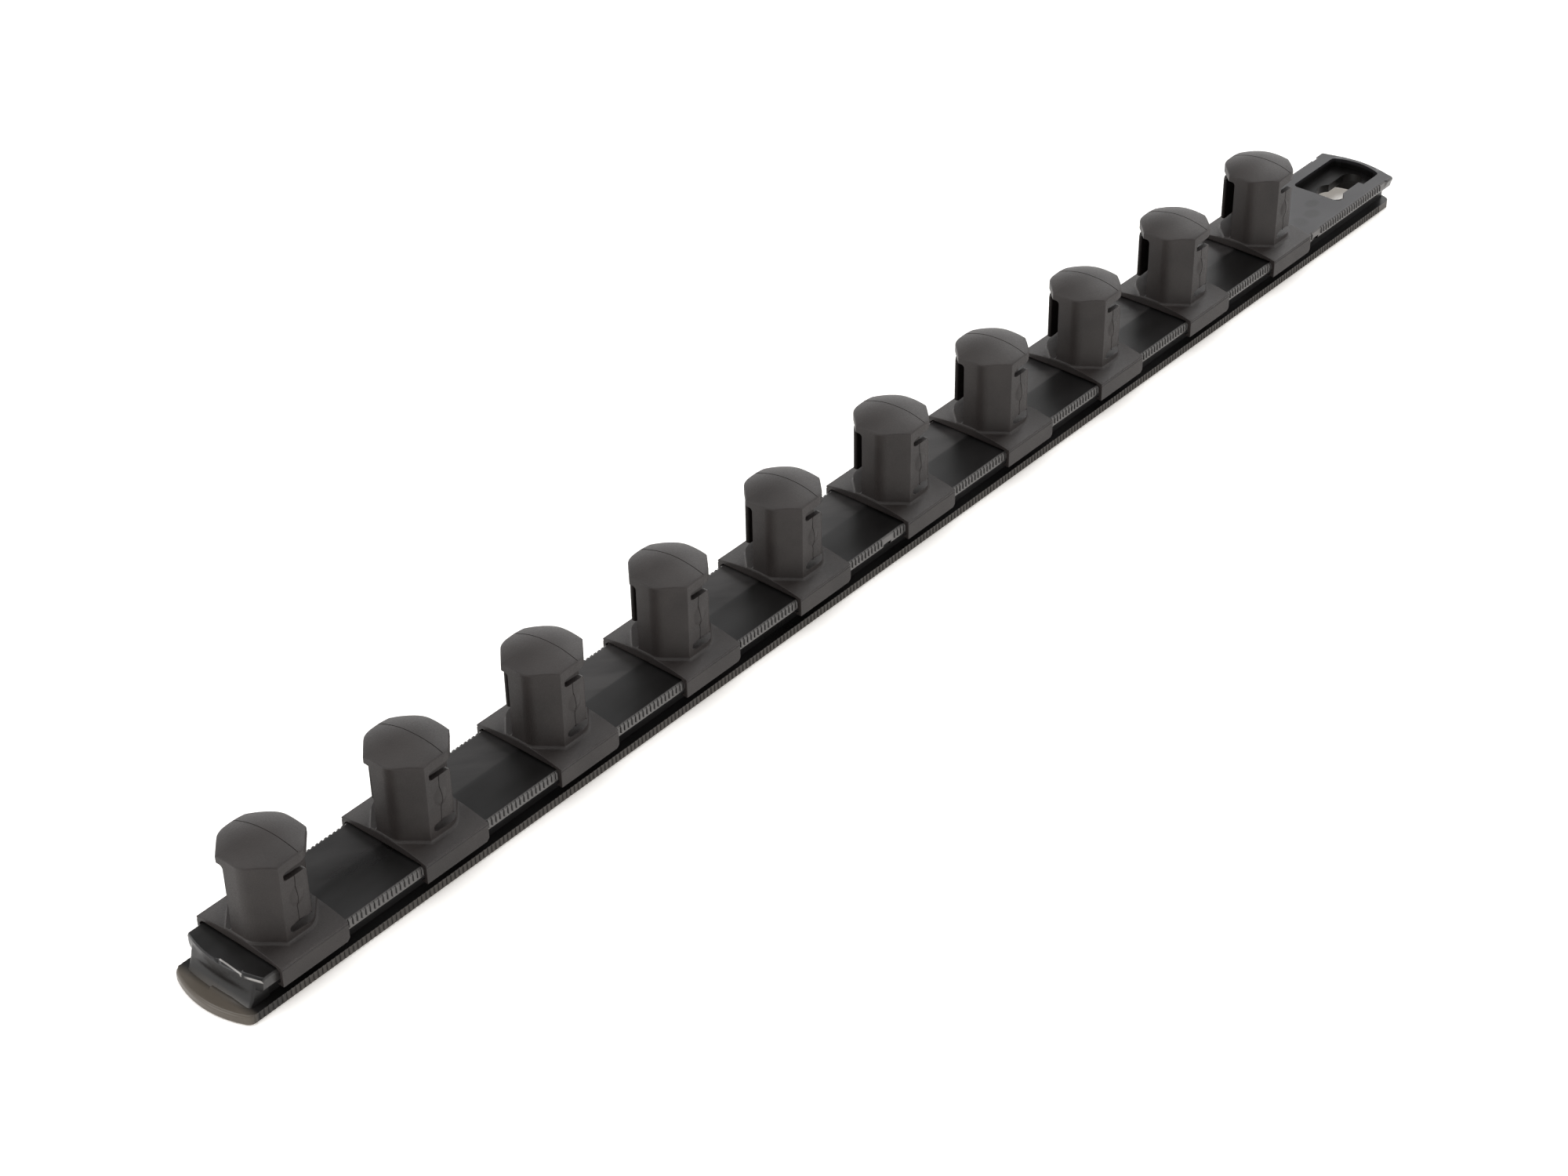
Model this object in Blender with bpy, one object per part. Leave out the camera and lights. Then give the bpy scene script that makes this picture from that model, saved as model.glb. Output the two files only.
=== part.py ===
"""Socket rail: ten snap-on socket clips that slide along one moulded rail.

The rail is a low I section: a ridged deck with undercut lips, a web and a flat foot. Its far end
has stop corners and a hanging pocket. Each clip is one moulding: a saddle that hooks under the
lips, and an eight-sided post whose two spring leaves are freed by a side core each, under a domed
head. Metres, +X towards the hanging pocket, +Z up, z = 0 under the foot, x = 0 halfway along.
"""

import math

import bmesh
import bpy

# Rail, overall
RAIL_LENGTH = 0.3048
RAIL_WIDTH = 0.0160
CUT_OVERRUN = 0.002

# Rail foot, the lower flange
FOOT_THICKNESS = 0.0015
FOOT_NEAR_BOW = 0.0019
FOOT_FAR_BOW = 0.0016
FOOT_FAR_SETBACK = 0.0002
FOOT_CORNER_RADIUS = 0.00125

# Rail web
WEB_WIDTH = 0.0126
WEB_NEAR_SETBACK = 0.0046
WEB_FAR_SETBACK = 0.0002
WEB_FAR_BOW = 0.0013
WEB_CORNER_RADIUS = 0.0006
WEB_LAP = 0.0004

# Near block, which closes the web's near end and sweeps from a toe on the foot out under the deck
TOE_SETBACK = 0.0024
TOE_BOW = 0.00045
INSTEP_HEIGHT = 0.0021
INSTEP_SETBACK = 0.0030
INSTEP_BOW = 0.0004
NECK_HEIGHT = 0.0033
NECK_SETBACK = 0.0035
NECK_BOW = 0.00035
CHIN_HEIGHT = 0.0042
CHIN_SETBACK = 0.0035
CHIN_BOW = 0.0006
BLOCK_WIDTH = 0.0132
BLOCK_TOP_HEIGHT = 0.0055
BLOCK_TOP_INSET = 0.00005
BLOCK_CORNER_RADIUS = 0.0005
BLOCK_LENGTH = 0.0032

# Rail deck, the upper flange with a shallow ridge, chamfered edges and undercut lips
DECK_RIDGE_HEIGHT = 0.00644
DECK_SHOULDER_HEIGHT = 0.00636
DECK_CHAMFER = 0.0004
DECK_NEAR_SETBACK = 0.0035
DECK_NEAR_BOW = 0.0015
DECK_FAR_BOW = 0.0016
DECK_NEAR_BEVEL = 0.0005
DECK_NEAR_BEVEL_DROP = 0.00035
DECK_FAR_BEVEL = 0.0002
RIB_BAND_HEIGHT = 0.00097
LIP_FACE_HEIGHT = 0.00059
LIP_TAPER = 0.0001
LIP_CHAMFER_HEIGHT = 0.00035
LIP_CHAMFER_WIDTH = 0.0005
STOP_LENGTH = 0.0022
STOP_STEP = 0.0004

# Lip notches, cut in the near lip
NOTCH_CENTRES_FROM_FAR_END = (0.1611, 0.0291)
NOTCH_WIDTH = 0.0020
NOTCH_DEPTH = 0.0009

# Hanging pocket at the far end
POCKET_WALL = 0.0008
POCKET_LENGTH = 0.0159
POCKET_WIDTH = 0.0105
POCKET_BOW = 0.00125
POCKET_CORNER_RADIUS = 0.0010
SHELF_HEIGHT = 0.0045
SHELF_THICKNESS = 0.0016
BOSS_OFFSET = 0.0019
BOSS_RAMP = 0.0014
BOSS_LENGTH = 0.0072
BOSS_DEPTH = 0.00115
BOSS_CORNER_RADIUS = 0.0008
KEYHOLE_RADIUS = 0.0031
KEYHOLE_SLOT_WIDTH = 0.0043
KEYHOLE_SLOT_LENGTH = 0.0070
KEYHOLE_LEDGE = 0.0012
KEYHOLE_SHIFT = 0.0005

# Clips along the rail
CLIP_PITCH = 0.0280
CLIP_SLIDES = (0.0001, 0.0002, 0.0005, 0.0009, 0.0006, 0.0006, 0.0005)
FIRST_CLIP_FROM_NEAR_END = 0.0139
LAST_CLIP_FROM_FAR_END_AT_LEAST = 0.0300

# Clip saddle
FIT_GAP = 0.0003
SADDLE_END_MARGIN = 0.000175
SKIRT_WALL = 0.0006
SKIRT_BOTTOM = 0.0036
ROOF_EDGE_THICKNESS = 0.00034
ROOF_CROWN = 0.00112
LEDGE_HEIGHT = 0.00025
LEDGE_SHOULDER = 0.00012
GROOVE_DEPTH = 0.0001
GROOVE_HEIGHT = 0.00015
SKIRT_CHAMFER = 0.0006

# Clip post and head
POST_ACROSS_FLATS = 0.0124
POST_CORNER_RADIUS = 0.0031
POST_ROOT_DEPTH = 0.0006
POST_FILLET = 0.0004
POST_FOOT_INSET = 0.00005
HEAD_TOP_HEIGHT = 0.0230
HEAD_DOME_RADIUS = 0.0149
HEAD_RIM_DROP = 0.0002
HEAD_RIM_INSET = 0.0002

# Spring leaves in the post
LEAF_BOTTOM = 0.0102
LEAF_HEEL_ROOT = 0.0001
LEAF_HEEL_TIP = 0.0007
LEAF_TOP = 0.0184
LEAF_ROOT_THICKNESS = 0.00105
LEAF_TIP_THICKNESS = 0.00085
LEAF_END = 0.0026
LEAF_TOP_ROUNDING = 0.0008
LEAF_BOTTOM_ROUNDING = 0.0003
LEAF_END_DRAFT = 0.0003

# Side cores, the drafted pockets that wrap round the leaves
CORE_BLIND_END = -0.0018
CORE_LOW_DEEP = 0.0089
CORE_LOW_MOUTH = 0.0083
CORE_HIGH_DEEP = 0.0198
CORE_HIGH_MOUTH = 0.0202
CORE_WALL_DEEP = 0.00144
CORE_WALL_MOUTH = 0.00125
CORE_CORNER_RADIUS = 0.0006
CORE_END_ROUNDING = ((0, 0.00034), (0.0003, 0.00012), (0.00075, 0))

# Snap bumps on the leaves
BUMP_HEIGHT_ABOVE_FOOT = 0.0147
BUMP_WIDTH = 0.0028
BUMP_HEIGHT = 0.0035
BUMP_RISE = 0.00035
BUMP_ROOT = 0.0004

# Faceting
ARC_STEPS = 3
CORE_ARC_STEPS = 2
SLOT_STEPS = 8
CROWN_STEPS = 8
END_STEPS = 8
BUMP_SIDES = 10
DOME_RING_SHARES = (0.86, 0.62, 0.32)
BUMP_RING_SHARES = (0.9, 0.5)

# Finish
RAIL_COLOUR = (0.017, 0.016, 0.016, 1.0)
RAIL_ROUGHNESS = 0.32
CLIP_COLOUR = (0.030, 0.028, 0.026, 1.0)
CLIP_ROUGHNESS = 0.55

# Places that follow from the sizes
NEAR_END = -RAIL_LENGTH / 2
FAR_END = RAIL_LENGTH / 2
CLIP_SPAN = RAIL_LENGTH - FIRST_CLIP_FROM_NEAR_END - LAST_CLIP_FROM_FAR_END_AT_LEAST
CLIP_COUNT = math.floor(CLIP_SPAN / CLIP_PITCH) + 1
RAIL_HALF = RAIL_WIDTH / 2
DECK_SIDE_HEIGHT = DECK_SHOULDER_HEIGHT - DECK_CHAMFER
LIP_FACE_TOP = DECK_SIDE_HEIGHT - RIB_BAND_HEIGHT
LIP_CHAMFER_TOP = LIP_FACE_TOP - LIP_FACE_HEIGHT
LIP_BOTTOM = LIP_CHAMFER_TOP - LIP_CHAMFER_HEIGHT
SADDLE_INNER_HALF = RAIL_HALF + FIT_GAP
SADDLE_OUTER_HALF = SADDLE_INNER_HALF + SKIRT_WALL
ROOF_EDGE_HEIGHT = DECK_SHOULDER_HEIGHT + FIT_GAP + ROOF_EDGE_THICKNESS
SADDLE_LENGTH = POST_ACROSS_FLATS + 2 * SADDLE_END_MARGIN
POST_HALF = POST_ACROSS_FLATS / 2
POST_VERTEX = POST_HALF * math.tan(math.pi / 8)


def clear_scene():
    for item in list(bpy.data.objects):
        bpy.data.objects.remove(item, do_unlink=True)


def plastic(name, colour, roughness):
    material = bpy.data.materials.new(name)
    material.use_nodes = True
    shader = material.node_tree.nodes["Principled BSDF"]
    shader.inputs["Base Color"].default_value = colour
    shader.inputs["Roughness"].default_value = roughness
    shader.inputs["Metallic"].default_value = 0.0
    return material


def add_object(name, mesh):
    item = bpy.data.objects.new(name, mesh)
    bpy.context.collection.objects.link(item)
    return item


def mesh_from(name, points, faces):
    """A mesh whose faces are turned to point out of its closed body."""
    body = bmesh.new()
    corners = [body.verts.new(point) for point in points]
    for face in faces:
        body.faces.new([corners[index] for index in face])
    bmesh.ops.recalc_face_normals(body, faces=body.faces)
    mesh = bpy.data.meshes.new(name)
    body.to_mesh(mesh)
    body.free()
    return mesh


def loft(name, rings, apex=None):
    """Rings of equally many points, joined in order; the ends are closed by a face or an apex."""
    count = len(rings[0])
    points = [point for ring in rings for point in ring]
    faces = [tuple(range(count))]
    for level in range(len(rings) - 1):
        for index in range(count):
            after = (index + 1) % count
            low = level * count
            high = low + count
            faces.append((low + index, low + after, high + after, high + index))
    top = (len(rings) - 1) * count
    if apex is None:
        faces.append(tuple(range(top, top + count)))
    else:
        points.append(apex)
        for index in range(count):
            faces.append((top + index, top + (index + 1) % count, len(points) - 1))
    return mesh_from(name, points, faces)


def upright(name, outline, bottom, top):
    """A plan outline pushed up from one height to another."""
    rings = [[(x, y, height) for x, y in outline] for height in (bottom, top)]
    return loft(name, rings)


def along_x(name, outline, start, end):
    """A (y, z) outline pushed along the rail."""
    rings = [[(place, y, z) for y, z in outline] for place in (start, end)]
    return loft(name, rings)


def along_y(name, outline, start, end):
    """An (x, z) outline pushed across the rail."""
    rings = [[(x, place, z) for x, z in outline] for place in (start, end)]
    return loft(name, rings)


def rounded(outline, radii, steps=ARC_STEPS):
    """An outline whose corners are replaced by arcs; a radius of zero keeps the corner."""
    result = []
    count = len(outline)
    for index, (corner, radius) in enumerate(zip(outline, radii)):
        if radius == 0:
            result.append(corner)
            continue
        before = outline[index - 1]
        after = outline[(index + 1) % count]
        to_before = unit(corner, before)
        to_after = unit(corner, after)
        half_angle = math.acos(dot(to_before, to_after)) / 2
        reach = radius / math.tan(half_angle)
        bisector = unit((0, 0), (to_before[0] + to_after[0], to_before[1] + to_after[1]))
        centre = move(corner, bisector, radius / math.sin(half_angle))
        first = move(corner, to_before, reach)
        last = move(corner, to_after, reach)
        start = math.atan2(first[1] - centre[1], first[0] - centre[0])
        turn = math.atan2(last[1] - centre[1], last[0] - centre[0]) - start
        turn = (turn + math.pi) % (2 * math.pi) - math.pi
        for step in range(steps + 1):
            angle = start + turn * step / steps
            result.append((centre[0] + radius * math.cos(angle), centre[1] + radius * math.sin(angle)))
    return result


def unit(start, end):
    length = math.dist(start, end)
    return ((end[0] - start[0]) / length, (end[1] - start[1]) / length)


def dot(first, second):
    return first[0] * second[0] + first[1] * second[1]


def move(point, direction, distance):
    return (point[0] + direction[0] * distance, point[1] + direction[1] * distance)


def spread(start, end, steps):
    return [start + (end - start) * step / steps for step in range(steps + 1)]


def between(start, end, share):
    return start + (end - start) * share


def bowed(end, bow, half, y):
    """Where an arched end lies at a distance y from the middle; a positive bow bulges to +X."""
    return end - bow * (y / half) ** 2


def combine(base, mesh, operation):
    """Cut a helper body from the base, or join it on, and bake the result into the base's mesh."""
    helper = add_object("helper", mesh)
    helper.hide_render = True
    helper.display_type = "WIRE"
    step = base.modifiers.new("step", "BOOLEAN")
    step.operation = operation
    step.solver = "EXACT"
    step.object = helper
    graph = bpy.context.evaluated_depsgraph_get()
    baked = bpy.data.meshes.new_from_object(base.evaluated_get(graph))
    base.modifiers.remove(step)
    old = base.data
    base.data = baked
    bpy.data.meshes.remove(old)
    bpy.data.objects.remove(helper, do_unlink=True)
    bpy.data.meshes.remove(mesh)


def finish(item, material, sharp_angle):
    item.data.materials.clear()
    item.data.materials.append(material)
    item.data.shade_smooth()
    item.data.set_sharp_from_angle(angle=sharp_angle)


# Rail

def deck_height(y):
    shoulder_y = RAIL_HALF - DECK_CHAMFER
    if abs(y) > shoulder_y:
        return DECK_SHOULDER_HEIGHT - (abs(y) - shoulder_y)
    return between(DECK_RIDGE_HEIGHT, DECK_SHOULDER_HEIGHT, abs(y) / shoulder_y)


def deck_columns():
    """(y, bottom, top) of the deck's section from its middle to its edge."""
    shoulder_y = RAIL_HALF - DECK_CHAMFER
    chamfer_y = RAIL_HALF - LIP_TAPER
    inner_y = chamfer_y - LIP_CHAMFER_WIDTH
    shoulder_share = (shoulder_y - inner_y) / LIP_CHAMFER_WIDTH
    flat = [(y, LIP_BOTTOM) for y in spread(0, inner_y, CROWN_STEPS // 2)]
    lip = [
        (shoulder_y, between(LIP_BOTTOM, LIP_CHAMFER_TOP, shoulder_share)),
        (chamfer_y, LIP_CHAMFER_TOP),
        (RAIL_HALF, LIP_FACE_TOP),
    ]
    return [(y, bottom, deck_height(y)) for y, bottom in flat + lip]


def deck_mesh():
    """The deck, lofted through stations from its bevelled near end to its stop corners."""
    half = deck_columns()
    columns = [(-y, bottom, top) for y, bottom, top in reversed(half[1:])] + half
    deck_near = NEAR_END + DECK_NEAR_SETBACK
    stop_start = FAR_END - DECK_FAR_BOW - STOP_LENGTH
    lip_start = RAIL_HALF - LIP_TAPER - LIP_CHAMFER_WIDTH

    def station(kind):
        row = []
        for y, bottom, top in columns:
            near = bowed(deck_near, -DECK_NEAR_BOW, RAIL_HALF, y)
            far = bowed(FAR_END, DECK_FAR_BOW, RAIL_HALF, y)
            wide = y + math.copysign(STOP_STEP, y) if abs(y) >= lip_start else y
            place = {
                "near": (near, y, top - DECK_NEAR_BEVEL_DROP),
                "near_bevel": (near + DECK_NEAR_BEVEL, y, top),
                "stop": (stop_start, y, top),
                "stop_step": (stop_start + STOP_STEP, wide, top),
                "far_bevel": (far - DECK_FAR_BEVEL, wide, top),
                "far": (far, wide, top - DECK_FAR_BEVEL),
            }[kind]
            row.append((place, bottom))
        upper = [place for place, bottom in row]
        lower = [(x, y, bottom) for ((x, wide, top), bottom), (y, low, high) in zip(row, columns)]
        return upper + list(reversed(lower))

    rings = [station(kind) for kind in ("near", "near_bevel", "stop", "stop_step", "far_bevel", "far")]
    count = len(rings[0])
    points = [point for ring in rings for point in ring]
    faces = []
    for level in range(len(rings) - 1):
        for index in range(count):
            after = (index + 1) % count
            low = level * count
            high = low + count
            faces.append((low + index, low + after, high + after, high + index))
    for start in (0, (len(rings) - 1) * count):
        for index in range(len(columns) - 1):
            opposite = count - 1 - index
            faces.append((start + index, start + index + 1, start + opposite - 1, start + opposite))
    return mesh_from("deck", points, faces)


def end_arc(end, bow, half, reverse):
    places = [(bowed(end, bow, half, y), y) for y in spread(-half, half, END_STEPS)]
    return list(reversed(places)) if reverse else places


def plan_with_arched_ends(near, near_bow, far, far_bow, half, radius):
    """A long plan outline with an arched end at each side and rounded corners."""
    far_points = end_arc(far, far_bow, half, False)
    near_points = end_arc(near, -near_bow, half, True)
    outline = far_points + near_points
    ends = (0, len(far_points) - 1, len(far_points), len(outline) - 1)
    radii = [radius if index in ends else 0 for index in range(len(outline))]
    return rounded(outline, radii)


def foot_mesh():
    outline = plan_with_arched_ends(
        NEAR_END, FOOT_NEAR_BOW, FAR_END - FOOT_FAR_SETBACK, FOOT_FAR_BOW, RAIL_HALF, FOOT_CORNER_RADIUS)
    return upright("foot", outline, 0, FOOT_THICKNESS)


def web_mesh():
    near_bow = DECK_NEAR_BOW * (WEB_WIDTH / RAIL_WIDTH) ** 2
    outline = plan_with_arched_ends(
        NEAR_END + WEB_NEAR_SETBACK, near_bow, FAR_END - WEB_FAR_SETBACK, WEB_FAR_BOW,
        WEB_WIDTH / 2, WEB_CORNER_RADIUS)
    return upright("web", outline, FOOT_THICKNESS - WEB_LAP, LIP_BOTTOM + WEB_LAP)


def near_block_mesh():
    """The block at the near end: its concave end face runs from the foot up to the deck's end."""
    half = BLOCK_WIDTH / 2
    levels = (
        (FOOT_THICKNESS - WEB_LAP, TOE_SETBACK, TOE_BOW),
        (INSTEP_HEIGHT, INSTEP_SETBACK, INSTEP_BOW),
        (NECK_HEIGHT, NECK_SETBACK, NECK_BOW),
        (CHIN_HEIGHT, CHIN_SETBACK, CHIN_BOW),
        (BLOCK_TOP_HEIGHT, DECK_NEAR_SETBACK + BLOCK_TOP_INSET, DECK_NEAR_BOW * (half / RAIL_HALF) ** 2),
    )
    back = NEAR_END + DECK_NEAR_SETBACK + BLOCK_LENGTH
    rings = []
    for height, setback, bow in levels:
        near = end_arc(NEAR_END + setback, -bow, half, True)
        outline = near + [(back, -half), (back, half)]
        radii = [0] * len(outline)
        radii[0] = BLOCK_CORNER_RADIUS
        radii[len(near) - 1] = BLOCK_CORNER_RADIUS
        rings.append([(x, y, height) for x, y in rounded(outline, radii)])
    return loft("near_block", rings)


def pocket_outline(with_boss):
    """The hanging pocket seen from above: an arched far wall, and a boss on the near wall."""
    half = POCKET_WIDTH / 2
    far = FAR_END - POCKET_WALL
    near = far - POCKET_LENGTH
    arc = end_arc(far, POCKET_BOW, half, False)
    outline = arc + [(near, half), (near, -half)]
    radii = [0] * len(outline)
    radii[0] = POCKET_CORNER_RADIUS
    radii[len(arc) - 1] = POCKET_CORNER_RADIUS
    radii[-2:] = [POCKET_CORNER_RADIUS, POCKET_CORNER_RADIUS]
    if with_boss:
        start = near + BOSS_OFFSET
        end = start + BOSS_LENGTH
        top = -half + BOSS_DEPTH
        outline += [(start, -half), (start + BOSS_RAMP, top), (end, top), (end, -half)]
        radii += [0, BOSS_CORNER_RADIUS, 0, 0]
    return rounded(outline, radii)


def keyhole_outline():
    """The hanging keyhole seen from above: a round hole, and a slot from it towards the far end."""
    half = KEYHOLE_SLOT_WIDTH / 2
    slot_centre = FAR_END - POCKET_WALL - KEYHOLE_LEDGE - half
    hole_centre = slot_centre - KEYHOLE_SLOT_LENGTH
    mouth = math.asin(half / KEYHOLE_RADIUS)
    arcs = (
        (slot_centre, half, -math.pi / 2, math.pi / 2),
        (hole_centre, KEYHOLE_RADIUS, mouth, 2 * math.pi - mouth),
    )
    outline = []
    for centre, radius, first, last in arcs:
        for angle in spread(first, last, SLOT_STEPS):
            x = centre + radius * math.cos(angle)
            outline.append((x, radius * math.sin(angle) - KEYHOLE_SHIFT))
    return outline


def make_rail(material):
    rail = add_object("rail", deck_mesh())
    combine(rail, web_mesh(), "UNION")
    combine(rail, near_block_mesh(), "UNION")
    combine(rail, foot_mesh(), "UNION")
    pocket_top = DECK_RIDGE_HEIGHT + CUT_OVERRUN
    shelf_bottom = SHELF_HEIGHT - SHELF_THICKNESS
    combine(rail, upright("pocket", pocket_outline(True), SHELF_HEIGHT, pocket_top), "DIFFERENCE")
    combine(rail, upright("hollow", pocket_outline(False), -CUT_OVERRUN, shelf_bottom), "DIFFERENCE")
    combine(rail, upright("keyhole", keyhole_outline(), 0, pocket_top), "DIFFERENCE")
    for distance in NOTCH_CENTRES_FROM_FAR_END:
        centre = FAR_END - distance
        half = NOTCH_WIDTH / 2
        inner = -RAIL_HALF + NOTCH_DEPTH
        sides = [(centre - half, LIP_BOTTOM - CUT_OVERRUN / 2), (centre + half, LIP_BOTTOM - CUT_OVERRUN / 2),
                 (centre + half, LIP_FACE_TOP), (centre - half, LIP_FACE_TOP)]
        combine(rail, along_y("notch", sides, -RAIL_HALF - CUT_OVERRUN, inner), "DIFFERENCE")
    finish(rail, material, math.radians(35))
    return rail


# Clip

def roof_height(y):
    return ROOF_EDGE_HEIGHT + ROOF_CROWN * (1 - (y / SADDLE_OUTER_HALF) ** 2)


def saddle_outline():
    """The saddle's section: a crowned roof, a ledge over each skirt, and hooks under the lips."""
    shoulder = SADDLE_OUTER_HALF - LEDGE_SHOULDER
    ledge_bottom = ROOF_EDGE_HEIGHT - LEDGE_HEIGHT
    groove_bottom = ledge_bottom - GROOVE_HEIGHT
    chamfer_run = math.hypot(LIP_CHAMFER_WIDTH, LIP_CHAMFER_HEIGHT)
    out_step = FIT_GAP * LIP_CHAMFER_HEIGHT / chamfer_run
    down_step = FIT_GAP * LIP_CHAMFER_WIDTH / chamfer_run
    hook_y = RAIL_HALF - LIP_TAPER - LIP_CHAMFER_WIDTH + out_step
    hook_z = LIP_BOTTOM - down_step
    slope = LIP_CHAMFER_HEIGHT / LIP_CHAMFER_WIDTH
    hook_root_z = hook_z + (SADDLE_INNER_HALF - hook_y) * slope
    corner_step = FIT_GAP * math.tan(math.pi / 8)
    shoulder_y = RAIL_HALF - DECK_CHAMFER + corner_step
    roof = [(y, roof_height(y)) for y in spread(-shoulder, shoulder, CROWN_STEPS)]
    right = [
        (SADDLE_OUTER_HALF, ROOF_EDGE_HEIGHT - LEDGE_SHOULDER),
        (SADDLE_OUTER_HALF, ledge_bottom),
        (SADDLE_OUTER_HALF - GROOVE_DEPTH, ledge_bottom - GROOVE_HEIGHT / 2),
        (SADDLE_OUTER_HALF, groove_bottom),
        (SADDLE_OUTER_HALF, SKIRT_BOTTOM),
        (hook_y, SKIRT_BOTTOM),
        (hook_y, hook_z),
        (SADDLE_INNER_HALF, hook_root_z),
        (SADDLE_INNER_HALF, DECK_SIDE_HEIGHT + corner_step),
        (shoulder_y, DECK_SHOULDER_HEIGHT + FIT_GAP),
    ]
    inside = [(0, DECK_RIDGE_HEIGHT + FIT_GAP)]
    left = [(-y, z) for y, z in reversed(right)]
    return roof + right + inside + left


def post_outline():
    """The eight-sided post: every other corner is rounded, and each flat has a middle point."""
    big = POST_HALF
    small = POST_VERTEX
    corners = [
        (-small, -big), (small, -big), (big, -small), (big, small),
        (small, big), (-small, big), (-big, small), (-big, -small),
    ]
    radii = [0, POST_CORNER_RADIUS] * 4
    outline = rounded(corners, radii)
    result = []
    for index, point in enumerate(outline):
        after = outline[(index + 1) % len(outline)]
        result.append(point)
        if math.dist(point, after) > POST_VERTEX:
            result.append(((point[0] + after[0]) / 2, (point[1] + after[1]) / 2))
    return result


def dome_height(x, y):
    reach = math.hypot(x, y)
    return HEAD_TOP_HEIGHT - HEAD_DOME_RADIUS + math.sqrt(HEAD_DOME_RADIUS ** 2 - reach ** 2)


def post_mesh():
    """The post from its filleted foot to its domed head, before the leaves are cut free."""
    plain = post_outline()
    limit = SADDLE_LENGTH / 2 - POST_FOOT_INSET

    def foot_ring(spread_out, rise, sink):
        ring = []
        for x, y in plain:
            reach = math.hypot(x, y)
            scale = (reach + spread_out) / reach
            wide_x = max(-limit, min(limit, x * scale))
            wide_y = y * scale
            ring.append((wide_x, wide_y, roof_height(wide_y) + rise - sink))
        return ring

    knee = POST_FILLET * (1 - math.sqrt(0.5))
    rings = [
        foot_ring(POST_FILLET, 0, POST_ROOT_DEPTH),
        foot_ring(POST_FILLET, 0, POST_FOOT_INSET),
        foot_ring(knee, knee, 0),
        foot_ring(0, POST_FILLET, 0),
        [(x, y, dome_height(x, y) - HEAD_RIM_DROP) for x, y in plain],
    ]
    for share in (1 - HEAD_RIM_INSET / POST_HALF,) + DOME_RING_SHARES:
        rings.append([(x * share, y * share, dome_height(x * share, y * share)) for x, y in plain])
    return loft("post", rings, apex=(0, 0, HEAD_TOP_HEIGHT))


def core_section(x, narrowing, top_trim, bottom_trim, leaf_gone):
    """The (y, z) section of a side core, which wraps round the leaf above, behind and below it."""
    share = (x - CORE_BLIND_END) / (POST_HALF - CORE_BLIND_END)
    low = between(CORE_LOW_DEEP, CORE_LOW_MOUTH, share) + narrowing
    high = between(CORE_HIGH_DEEP, CORE_HIGH_MOUTH, share) - narrowing
    wall = -between(CORE_WALL_DEEP, CORE_WALL_MOUTH, share) - narrowing
    outer = -(POST_HALF + CUT_OVERRUN)
    leaf_share = (x - CORE_BLIND_END) / (LEAF_END - CORE_BLIND_END)
    thickness = between(LEAF_ROOT_THICKNESS, LEAF_TIP_THICKNESS, leaf_share) + narrowing
    heel = between(LEAF_HEEL_ROOT, LEAF_HEEL_TIP, min(leaf_share, 1))
    leaf_high = LEAF_TOP + narrowing - top_trim
    leaf_low = LEAF_BOTTOM - narrowing + bottom_trim
    outer_low = leaf_low + heel * CUT_OVERRUN / thickness
    inner_low = leaf_low - heel
    leaf_face = -POST_HALF + thickness
    if leaf_gone:
        leaf_face = -(POST_HALF + CUT_OVERRUN / 2)
        outer_low = leaf_low
        inner_low = leaf_low
    corners = [
        (outer, low), (wall, low), (wall, high), (outer, high),
        (outer, leaf_high), (leaf_face, leaf_high), (leaf_face, inner_low), (outer, outer_low),
    ]
    radii = [0, CORE_CORNER_RADIUS, CORE_CORNER_RADIUS, 0, 0, 0, 0, 0]
    return rounded(corners, radii, CORE_ARC_STEPS)


def core_mesh(side):
    """The side core that frees one leaf: blind at the leaf's root, open past the leaf's free end."""
    stations = [(CORE_BLIND_END + offset, narrowing, 0, 0, False) for offset, narrowing in CORE_END_ROUNDING]
    top = LEAF_TOP_ROUNDING
    bottom = LEAF_BOTTOM_ROUNDING
    knee = 1 - math.sqrt(0.5)
    stations += [
        (LEAF_END - top, 0, 0, 0, False),
        (LEAF_END - top * knee, 0, top * knee, bottom * knee, False),
        (LEAF_END, 0, top, bottom, False),
        (LEAF_END + LEAF_END_DRAFT, 0, top, bottom, True),
        (POST_HALF + CUT_OVERRUN, 0, top, bottom, True),
    ]
    rings = []
    for x, narrowing, top_trim, bottom_trim, leaf_gone in stations:
        section = core_section(x, narrowing, top_trim, bottom_trim, leaf_gone)
        rings.append([(x * side, y * side, z) for y, z in section])
    return loft("side_core", rings)


def bump_mesh(side):
    """The low oval bump on a leaf, which snaps into the dimple of a socket's square drive."""
    rings = []
    for share, depth in [(1, -BUMP_ROOT)] + [
            (share, BUMP_RISE * (1 - share ** 2)) for share in BUMP_RING_SHARES]:
        ring = []
        for index in range(BUMP_SIDES):
            angle = 2 * math.pi * index / BUMP_SIDES
            x = BUMP_WIDTH / 2 * share * math.cos(angle)
            z = BUMP_HEIGHT_ABOVE_FOOT + BUMP_HEIGHT / 2 * share * math.sin(angle)
            ring.append((x * side, -(POST_HALF + depth) * side, z))
        rings.append(ring)
    apex = (0, -(POST_HALF + BUMP_RISE) * side, BUMP_HEIGHT_ABOVE_FOOT)
    return loft("bump", rings, apex=apex)


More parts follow.
